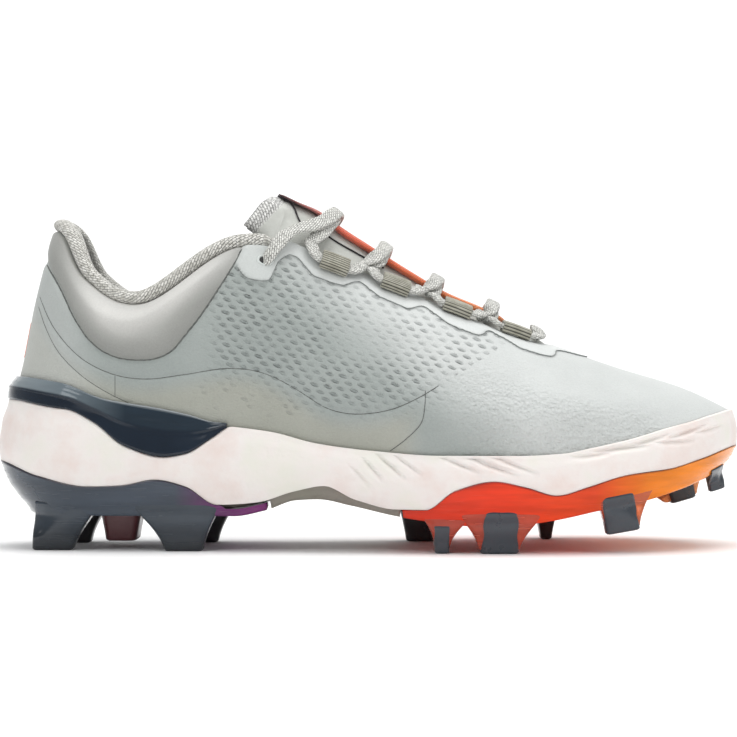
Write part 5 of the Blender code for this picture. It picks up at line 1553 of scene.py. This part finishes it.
# Slanted cuts in the midsole's side, in millimetres: middle in the side view, half length, slope and depth
CUTS = (
    (-4, 28.5, 5, -1.1, 0.5), (1, 31.5, 5, -1.1, 0.6), (8, 33, 7, -0.9, 0.7), (15, 33.5, 7, -0.75, 0.6),
    (36, 33.5, 10, -0.42, 0.7), (46, 34.5, 12, -0.36, 0.8), (58, 33.5, 11, -0.40, 0.7),
    (52, 31.5, 9, -0.36, 0.5), (90, 37, 9, 0.10, 0.6), (98, 39.5, 8, 0.14, 0.7),
    (106, 40.5, 9, 0.02, 0.6), (113, 43, 9, 0.28, 0.7),
    (124, 42.5, 9, 0.05, 0.6), (129, 46.5, 8, 0.34, 0.7), (138, 47.5, 6, 0.30, 0.5),
)


# Half width of a cut above and below its line, and its depth over the table's
CUT_ABOVE = 0.30
CUT_BELOW = 1.5
CUT_DEEPEN = 2.0


def cut_field(x, z):
    """The relief of the slanted cuts: each is steep above and runs out softly below."""
    total = np.zeros(x.shape)
    for middle_x, middle_z, half, slope, depth in CUTS:
        along_cut = (x - middle_x * MM) / (half * MM)
        off = z - middle_z * MM - slope * (x - middle_x * MM)
        fade = np.clip(1 - along_cut**2, 0, 1)
        width = np.where(off > 0, CUT_ABOVE, CUT_BELOW) * MM
        total -= CUT_DEEPEN * depth * MM * np.exp(-((off / width) ** 2)) * fade
    return total


def midsole_side(station):
    """One side of the midsole: inside of the lip, rounded lip, sculpted side and the step to the plate."""
    x = ring_at(OUTLINE_POINTS, station)[0]
    low, high = upper_foot(station)
    direction = outward(station)
    lip = rim(x)
    share = (lip - low[2]) / (high[2] - low[2])
    bed = low + direction * CLEARANCE
    bed[2] = footbed(bed[0])
    lip_inner = low + (high - low) * share + direction * CLEARANCE
    lip_outer = inside(station, side_inset(x, lip), lip)
    round_lip = []
    for angle in np.linspace(0, math.pi / 2, 5):
        centre = lip_outer * 0.75 + lip_inner * 0.25
        spot = centre + (lip_outer - centre) * math.sin(angle)
        spot[2] = lip - LIP_ROUND * (1 - math.cos(angle))
        round_lip.append(spot)
    edge = max(plate_top(x) if plated(x) else wave(x), wave(x)) + 0.4 * CLEARANCE
    levels = np.linspace(lip - LIP_ROUND, edge, SIDE_LEVELS)[1:]
    side = [inside(station, side_inset(x, z), z) for z in levels]
    corner_inset = side_inset(x, under(x)) + PLATE_WALL
    corner_z = under(x) + (PLATE_FLOOR + CLEARANCE if plated(x) else 0.0)
    step_inset = side_inset(x, edge) + PLATE_WALL + CLEARANCE
    step = inside(station, step_inset, edge)
    corner = inside(station, corner_inset + CLEARANCE, corner_z)
    tuck = [step * (1 - t) + corner * t for t in (0.0, 0.5, 1.0)]
    return np.array([bed, lip_inner, *round_lip, *side, *tuck])


def make_midsole():
    """The foam cup with its carved side; the footbed and the underside close it across."""
    ends = [(HEEL_PLATE_END, 0.7), (HEEL_PLATE_END, 1), (FORE_PLATE_START, -1), (FORE_PLATE_START, -0.7)]
    marks = [station_at(OUTLINE_POINTS, end + share * PLATE_END_GAP) for end, share in ends]
    rows = sorted([s for s in ROWS if all(abs(s - mark) > 0.01 for mark in marks)] + marks)
    lateral = np.array([midsole_side(s) for s in rows])
    medial = np.array([midsole_side(LOOP_ROWS - s) for s in rows])
    halves = []
    for half, flip in ((lateral, 1), (medial, -1)):
        normals, _ = normals_of(half, closed=False)
        normals *= np.sign(np.sum(normals[len(rows) // 2, 20] * np.array([0, -flip, 0])))
        x, z = side_view(half)
        body = np.zeros(half.shape[1])
        body[6 : SIDE_LEVELS + 6] = 1
        relief = (cut_field(x, z) + 0.25 * MM * rough(half, 14 * MM, 1.7)) * body[None]
        halves.append(half + normals * relief[:, :, None])
    lateral, medial = halves
    grid = joined(lateral, medial)
    # Where shade is painted on the foam: the step in to the plate and the underside across
    underside_painted_shade = np.zeros(grid.shape[:2])
    count = lateral.shape[1]
    underside_painted_shade[:, count - 2 : count + 5] = 1.0
    mesh = grid_mesh("midsole_foam", grid, around=True, masks={"underside_painted_shade": underside_painted_shade})
    dress("midsole_foam", mesh, foam_look(), ("midsole",), flip=True)


def plate_side(station):
    """One side of a plate: its floor's edge, the top of its wall, the outer side and the rounded foot."""
    x = ring_at(OUTLINE_POINTS, station)[0]
    top = plate_top(x)
    corner_z = min(under(x) + PLATE_FLOOR, top - 0.2 * CLEARANCE)
    corner = inside(station, side_inset(x, under(x)) + PLATE_WALL, corner_z)
    crest = inside(station, side_inset(x, top) + PLATE_WALL, top)
    outside = [
        inside(station, side_inset(x, z) - PLATE_BEAD * math.exp(-(((top - z) / MM) ** 2)), z)
        for z in np.linspace(top, under(x) + PLATE_ROUND, 16)
    ]
    foot = inside(station, side_inset(x, under(x)) + PLATE_ROUND, under(x))
    return np.array([corner, crest, *outside, foot])


def make_plates():
    """The two moulded trays: dark blue-grey heel with a purple tail, red to orange forefoot."""
    heel = gloss_look("heel_plate", HEEL_PLATE_STOPS, low=-0.150, high=-0.040, Specular_IOR_Level=0.4)
    fore = gloss_look(
        "forefoot_plate", FORE_PLATE_STOPS, coat=0.15, low=0.010, high=0.150, Specular_IOR_Level=0.15
    )
    pieces = (
        ("heel_plate", "heel_tray", -SHOE_LENGTH / 2, HEEL_PLATE_END, heel),
        ("forefoot_plate", "forefoot_tray", FORE_PLATE_START, SHOE_LENGTH / 2, fore),
    )
    for node, name, low, high, material in pieces:
        first = station_at(OUTLINE_POINTS, low) if low > -0.499 * SHOE_LENGTH else 0.0
        last = station_at(OUTLINE_POINTS, high) if high < 0.499 * SHOE_LENGTH else HALF_TURN
        rows = [first] + [s for s in ROWS if first + 0.02 < s < last - 0.02] + [last]
        lateral = np.array([plate_side(s) for s in rows])
        medial = np.array([plate_side(LOOP_ROWS - s) for s in rows])
        grid = joined(lateral, medial)
        # Where shade is painted on a plate: the top of its wall, by the foam
        plate_top_painted_shade = np.zeros(grid.shape[:2])
        plate_top_painted_shade[:, 2:4] = 1.0
        plate_top_painted_shade[:, -3:-1] = 1.0
        mesh = grid_mesh(name, grid, around=True, capped=True, masks={"plate_top_painted_shade": plate_top_painted_shade})
        dress(name, mesh, material, (node,), flip=True)


def make_clip():
    """The glossy heel clip: a pale band along its top and a dark swell below."""
    last = station_at(OUTLINE_POINTS, CLIP_TIP)
    side = [s for s in ROWS if s < last - 0.005] + [last]
    stations = [LOOP_ROWS - s for s in side[:0:-1]] + side
    sections, bands, edges = [], [], []
    for station in stations:
        x = ring_at(OUTLINE_POINTS, station)[0]
        direction = outward(station)
        bottom = rim(x) + 0.5 * CLEARANCE
        crest = welt(x) + max(line(CLIP_LINE, x / SHOE_LENGTH, SOLE_DEPTH), 4 * CLEARANCE)
        heights = np.linspace(bottom, crest, CLIP_LEVELS)
        inner = np.array([outer_face_at(station, z) + direction * 1.3 * CLEARANCE for z in heights])
        outer = []
        for spot, part in zip(inner, np.linspace(0, 1, len(inner))):
            blend = float(smooth_step((part - 0.1) / 0.8))
            flush = inside(station, side_inset(x, min(spot[2], welt(x))) - 0.3 * MM, spot[2])
            thick = CLIP_WALL * (1 - 0.45 * float(smooth_step((part - 0.75) / 0.25)))
            ledge = CLIP_LEDGE * math.exp(-(((part - 0.56) / 0.06) ** 2))
            outer.append(flush * (1 - blend) + (spot + direction * thick) * blend + direction * ledge)
        sections.append([*inner, *outer[::-1]])
        band = smooth_step((np.linspace(0, 1, CLIP_LEVELS) - 0.52) / 0.10)
        bands.append([*np.zeros(CLIP_LEVELS), *band[::-1]])
        # Painted highlight on the crest's rows, missing at the rear end
        lit = 0.55 * float(over(x, -118, 14))
        edges.append([*np.zeros(CLIP_LEVELS - 1), lit, lit, *np.zeros(CLIP_LEVELS - 1)])
    masks = {"band": np.array(bands), "edge": np.array(edges)}
    mesh = grid_mesh("heel_stabiliser", np.array(sections), around=True, capped=True, masks=masks)
    dress("heel_stabiliser", mesh, clip_look(), ("heel_clip",))


def make_heel_strip(tree):
    """The plain narrow orange strip on the back of the heel."""
    rows = []
    for z in np.linspace(TAPE_LOW, TAPE_HIGH, 24):
        row = []
        for y in np.linspace(-TAPE_HALF, TAPE_HALF, 9):
            spot = tree.ray_cast(Vector((-0.4, y, z)), Vector((1, 0, 0)))[0]
            edge = 1 - (abs(y) / TAPE_HALF) ** 6
            row.append(np.array(spot) - np.array([TAPE_RISE * edge, 0, 0]))
        rows.append(row)
    mesh = grid_mesh("heel_strip", np.array(rows))
    material = cloth_look("orange_tape", (0.85, 0.23, 0.12), (0.70, 0.16, 0.08), 1800.0)
    piece = dress("heel_strip", mesh, material, flip=True)
    wall = piece.modifiers.new("wall", "SOLIDIFY")
    wall.thickness = TAPE_WALL


def stud_look(name, colour):
    """Moulded dark plastic with worn, greyer edges and a fine grain."""
    look = Look(name, Roughness=0.32, Coat_Weight=0.3, Coat_Roughness=0.2)
    place = look.place()
    worn = tuple(0.5 * value + 0.06 for value in colour)
    wear = look.times(look.minus(0.004, look.axis("Z")), 120.0, True)
    look.colour(look.mix(wear, colour, look.ramp(look.noise(place, 400.0, 4.0), (0.4, colour), (0.7, worn))))
    look.bump(look.noise(place, 600.0, 3.0), 0.00015)
    look.roughness(look.ramp(look.noise(place, 250.0, 3.0), (0.3, 0.25), (0.7, 0.45)))
    return look.material


class Stud(NamedTuple):
    """A stud: x and lengths in shoe lengths, widths in BALL_WIDTH, reach in STUD_HEIGHT, 0 to the ground."""

    node: str
    x: float
    side: int
    foot_length: float
    top_length: float
    foot_width: float
    top_width: float
    reach: float


class Flow(NamedTuple):
    """A stud's form in mm: how far it runs out at the plate, climbs the plate's side and stands proud of it.

    The foot's own rear and front are moved out too, and its sides are drawn in, where a form needs it.
    """

    rear: float
    front: float
    rise: float
    bend: float
    proud: float
    foot_rear: float = 0.0
    foot_front: float = 0.0
    recess: float = 0.0


STUDS = (
    Stud("stud_heel_rear_lateral", -0.414, -1, 0.038, 0.072, 0.080, 0.120, 0.0),
    Stud("stud_heel_rear_medial", -0.402, 1, 0.036, 0.080, 0.080, 0.120, 0.0),
    Stud("stud_heel_front_lateral", -0.245, -1, 0.046, 0.090, 0.080, 0.120, 0.0),
    Stud("stud_heel_front_medial", -0.232, 1, 0.046, 0.080, 0.080, 0.120, 0.0),
    Stud("heel_bar", -0.333, 0, 0.042, 0.056, 0.200, 0.240, 0.8),
    Stud("stud_ball_rear_lateral", 0.094, -1, 0.018, 0.044, 0.090, 0.130, 0.0),
    Stud("stud_ball_rear_medial", 0.072, 1, 0.036, 0.050, 0.090, 0.120, 0.0),
    Stud("stud_ball_lateral", 0.168, -1, 0.050, 0.078, 0.090, 0.140, 0.0),
    Stud("stud_ball_medial", 0.248, 1, 0.016, 0.036, 0.090, 0.130, 0.0),
    Stud("stud_toe_lateral", 0.324, -1, 0.044, 0.060, 0.085, 0.120, 0.70),
    Stud("stud_toe_medial", 0.427, 1, 0.036, 0.050, 0.080, 0.110, 0.68),
    Stud("stud_toe_front", 0.458, -1, 0.018, 0.026, 0.060, 0.080, 0.50),
)
TOE_STUDS = 0.40

# The look and form of each stud's core, and of the skirt around it where it has one
STUD_FORMS = {
    "stud_heel_rear_lateral": (("slate", Flow(-0.6, 8.0, 5.0, 1.3, 0.2, 4.0, 0.8)),),
    "stud_heel_front_lateral": (("slate", Flow(9.0, 5.0, 6.0, 1.5, 0.5, 0.6, 1.0)),),
    "stud_heel_rear_medial": (("black", Flow(2.0, 6.0, 3.0, 1.5, 0.3)),),
    "stud_heel_front_medial": (("black", Flow(4.0, 6.0, 3.0, 1.5, 0.3)),),
    "heel_bar": (("rust", Flow(2.0, 2.0, 1.0, 1.2, 0.0)),),
    "stud_ball_rear_lateral": (
        ("dark", Flow(1.0, 1.0, 1.5, 1.3, 0.6, 0.3)), ("red", Flow(3.5, 6.0, 3.0, 2.0, 0.5, 0, 0, 1.0))),
    "stud_ball_lateral": (
        ("dark", Flow(-0.6, 0.2, 5.5, 1.0, 0.9)), ("red", Flow(5.0, 5.5, 6.0, 1.7, 0.5, 0.3, 0.3, 1.2))),
    "stud_toe_lateral": (
        ("dark", Flow(0.3, -0.3, 5.0, 1.0, 0.9, 0.2)), ("red", Flow(1.0, 4.0, 5.0, 1.6, 0.5, 0, 0, 1.2))),
    "stud_ball_rear_medial": (
        ("black", Flow(2.5, 2.0, 1.0, 1.2, -0.2, 1.0, 1.0)),
        ("red", Flow(3.0, 6.0, 2.0, 2.0, 0.3, 0, 0, 1.0))),
    "stud_ball_medial": (("black", Flow(3.0, 3.0, 1.0, 1.4, -0.2)),),
    "stud_toe_medial": (
        ("black", Flow(1.5, 2.0, 2.0, 1.4, -0.2)), ("red", Flow(9.0, 5.0, 3.0, 1.3, 0.4, 2.0, 0.5, 1.0))),
    "stud_toe_front": (("dark", Flow(-0.8, 1.4, 2.5, 1.0, 0.3, -0.6, 1.6)),),
}


def stud_seat(stud, x, reach, half_width):
    """The y of a stud just inside the edge of the plate's underside, and the underside's height there."""
    station = station_at(OUTLINE_POINTS, x + reach + flare(x) if stud.reach else x)
    outer, inner = ring_at(OUTLINE_POINTS, station)[1], ring_at(OUTLINE_POINTS, LOOP_ROWS - station)[1]
    tuck = half_width + (0.0 if stud.reach else flare(x))
    y = {-1: outer + tuck, 0: (outer + inner) / 2, 1: inner - tuck}[stud.side]
    lifted = 0.8 * flare(x) * outward(station)[0] if stud.x > TOE_STUDS else 0.0
    return y, under(x + lifted)


def plate_side_y(x, z, side):
    """Where the sole's outer or inner side is at x and z."""
    inset = side_inset(x, max(z, under(x)))
    low, high = 0.0, HALF_TURN
    for _ in range(12):
        middle = (low + high) / 2
        spot = inside(on_side(middle, side), inset, z)
        if spot[0] < x:
            low = middle
        else:
            high = middle
    return spot[1]


def stud_mesh(stud, flow):
    """A stud's form from its foot up, running out into the side of the plate."""
    x = stud.x * SHOE_LENGTH
    reach, half_width = stud.top_length * SHOE_LENGTH / 2, stud.top_width * BALL_WIDTH / 2
    y, seat = stud_seat(stud, x, reach, half_width)
    length = stud.reach * STUD_HEIGHT or seat
    slope = math.atan2(under(x + reach) - under(x - reach), 2 * reach) if stud.reach else 0.0
    foot_half, foot_wide = stud.foot_length * SHOE_LENGTH / 2, stud.foot_width * BALL_WIDTH / 2
    angles = 2 * math.pi * (np.arange(STUD_CORNERS) + 0.5) / STUD_CORNERS
    square = (squared(np.cos(angles), STUD_SQUARE), squared(np.sin(angles), STUD_SQUARE))
    top = 1 + flow.rise * MM / length
    rings = []
    start = 0.10 if flow.recess else 0.0
    for share in (start, start, start + 0.02, start + 0.06, *np.linspace(start + 0.12, top, 16)):
        chamfer = STUD_CHAMFER * max(0.0, 1 - (share - start) / 0.06) ** 2 if rings else foot_half
        grow = max(share, 0.0) ** flow.bend
        half = {
            1: foot_half + (flow.foot_front + flow.front * grow) * MM,
            -1: foot_half + (flow.foot_rear + flow.rear * grow) * MM,
        }
        level = min(share, 1.0)
        wide = foot_wide + (half_width - foot_wide) * level - flow.recess * MM * (1 - level)
        ring = []
        for a, b in zip(*square):
            dx, dz = a * (half[1 if a > 0 else -1] - chamfer), (share - 1) * length
            px = x + dx * math.cos(slope) - dz * math.sin(slope)
            pz = seat + dx * math.sin(slope) + dz * math.cos(slope)
            py = y + b * (wide - min(chamfer, wide))
            if stud.side and b * stud.side > 0:
                plate = plate_side_y(px, pz, stud.side) + stud.side * flow.proud * MM
                join = float(smooth_step((share - 0.35) / 0.65))
                skin = plate - stud.side * 0.9 * MM * float(smooth_step((share - top + 0.25) / 0.25))
                drawn = py * (1 - abs(b)) + skin * abs(b)
                if drawn * stud.side > skin * stud.side:
                    drawn = skin
                py = py * (1 - join) + drawn * join
            ring.append((px, py, pz))
        rings.append(ring)
    return grid_mesh("stud", np.array(rings), around=True, capped=True)


def make_studs():
    """Every stud's dark core, and the slate or clear red plastic that flows from it into the plate."""
    dark = stud_look("stud_core", (0.030, 0.040, 0.053))
    black = stud_look("stud_black", (0.010, 0.010, 0.013))
    rust = stud_look("stud_bar", (0.13, 0.035, 0.040))
    slate = gloss_look("heel_skirt", HEEL_SKIRT_STOPS, foot=0.30, Specular_IOR_Level=0.4)
    red = gloss_look("red_skirt", RED_SKIRT_STOPS, coat=0.2, low=0.0, Transmission_Weight=0.5, IOR=1.35)
    looks = {"dark": dark, "black": black, "rust": rust, "slate": slate, "red": red}
    for stud in STUDS:
        for part, (look, flow) in zip(("core", "skirt"), STUD_FORMS[stud.node]):
            nodes = (stud.node,) if part == "core" else ()
            dress(f"{stud.node}_{part}", stud_mesh(stud, flow), looks[look], nodes)


def make_insole():
    """The footbed, softly dished."""
    def side(station):
        inset = foot_inset(station) + 2.2 * UPPER_WALL + CLEARANCE
        lift = 2 * CLEARANCE + UPPER_WALL
        spots = [bedded(station, inset, lift), bedded(station, inset, lift + 0.8 * INSOLE_THICKNESS)]
        for share in np.linspace(0.05, 1, 8):
            dip = INSOLE_THICKNESS * (1.0 - 0.25 * share)
            spots.append(bedded(station, inset + 2 * INSOLE_THICKNESS * share, lift + dip))
        return spots

    lateral = np.array([side(s) for s in ROWS])
    medial = np.array([side(LOOP_ROWS - s) for s in ROWS])
    top = (lateral[:, -1] + medial[:, -1]) / 2
    grid = np.concatenate([lateral, top[:, None], medial[:, ::-1]], axis=1)
    mesh = grid_mesh("footbed", grid, around=True)
    material = cloth_look("footbed_cloth", (0.16, 0.17, 0.19), (0.10, 0.11, 0.13), 900.0, 0.0003)
    dress("footbed", mesh, material, ("insole",))


# Stage


# Lights: place, target, size in metres and power in watts
LIGHTS = {
    "key": ((-0.6, -0.9, 1.0), (0.0, 0.0, 0.06), 0.6, 4.0),
    "top": ((0.15, 0.0, 1.4), (0.0, 0.0, 0.06), 1.2, 15.0),
    "front": ((0.9, -0.6, 0.8), (0.1, 0.0, 0.06), 0.7, 2.6),
    "backdrop": ((0.0, 1.0, 2.2), (0.0, 3.4, 0.9), 2.0, 60.0),
}
SENSOR_WIDTH = 36.0
FOCAL_LENGTH = 114.2
WORLD_LIGHT = 0.45


def make_floor():
    """A pale floor that curves up into a backdrop."""
    width, depth, rise, bend = 6.0, 2.4, 3.0, 1.0
    rows = [(-depth, 0.0), (depth, 0.0)]
    for angle in np.linspace(0.1, math.pi / 2, 12):
        rows.append((depth + bend * math.sin(angle), bend * (1 - math.cos(angle))))
    rows.append((depth + bend, rise))
    grid = np.array([[(x, y, z) for x in (-width, width)] for y, z in rows], dtype=float)
    floor = bpy.data.objects.new("floor", grid_mesh("floor", grid))
    bpy.context.scene.collection.objects.link(floor)
    look = Look("floor", Roughness=0.9)
    look.colour(look.ramp(look.noise(look.place(), 3.0), (0.4, 0.94), (0.6, 0.96)))
    floor.data.materials.append(look.material)


def make_lights():
    """The soft lights and the even light all around."""
    world = bpy.data.worlds.new("studio")
    world.use_nodes = True
    background = world.node_tree.nodes["Background"].inputs
    background["Color"].default_value = (1.0, 1.0, 1.0, 1.0)
    background["Strength"].default_value = WORLD_LIGHT
    bpy.context.scene.world = world
    for name, (place, target, size, power) in LIGHTS.items():
        lamp = bpy.data.lights.new(name, "AREA")
        lamp.size = size
        lamp.energy = power
        lamp_object = bpy.data.objects.new(name, lamp)
        lamp_object.location = place
        lamp_object.rotation_euler = (Vector(target) - Vector(place)).to_track_quat("-Z", "Y").to_euler()
        bpy.context.scene.collection.objects.link(lamp_object)


def make_camera():
    """The level camera on the outer side."""
    lens = bpy.data.cameras.new("camera")
    lens.sensor_width = SENSOR_WIDTH
    lens.lens = FOCAL_LENGTH
    lens.clip_start = 0.01
    camera = bpy.data.objects.new("camera", lens)
    camera.location = EYE
    camera.rotation_euler = (math.pi / 2, 0.0, 0.0)
    bpy.context.scene.collection.objects.link(camera)
    bpy.context.scene.camera = camera
    bpy.context.scene.view_settings.view_transform = "Standard"


def main():
    make_floor()
    make_lights()
    make_camera()
    outer = make_upper()
    tree = surface_tree(outer)
    make_seams(tree)
    make_eyestay_line(outer)
    make_heel_strip(tree)
    make_binding()
    face = TongueFace()
    make_tongue(face)
    make_strip(face)
    make_loops()
    make_laces(face)
    make_eyelets()
    make_midsole()
    make_plates()
    make_clip()
    make_studs()
    make_insole()


main()
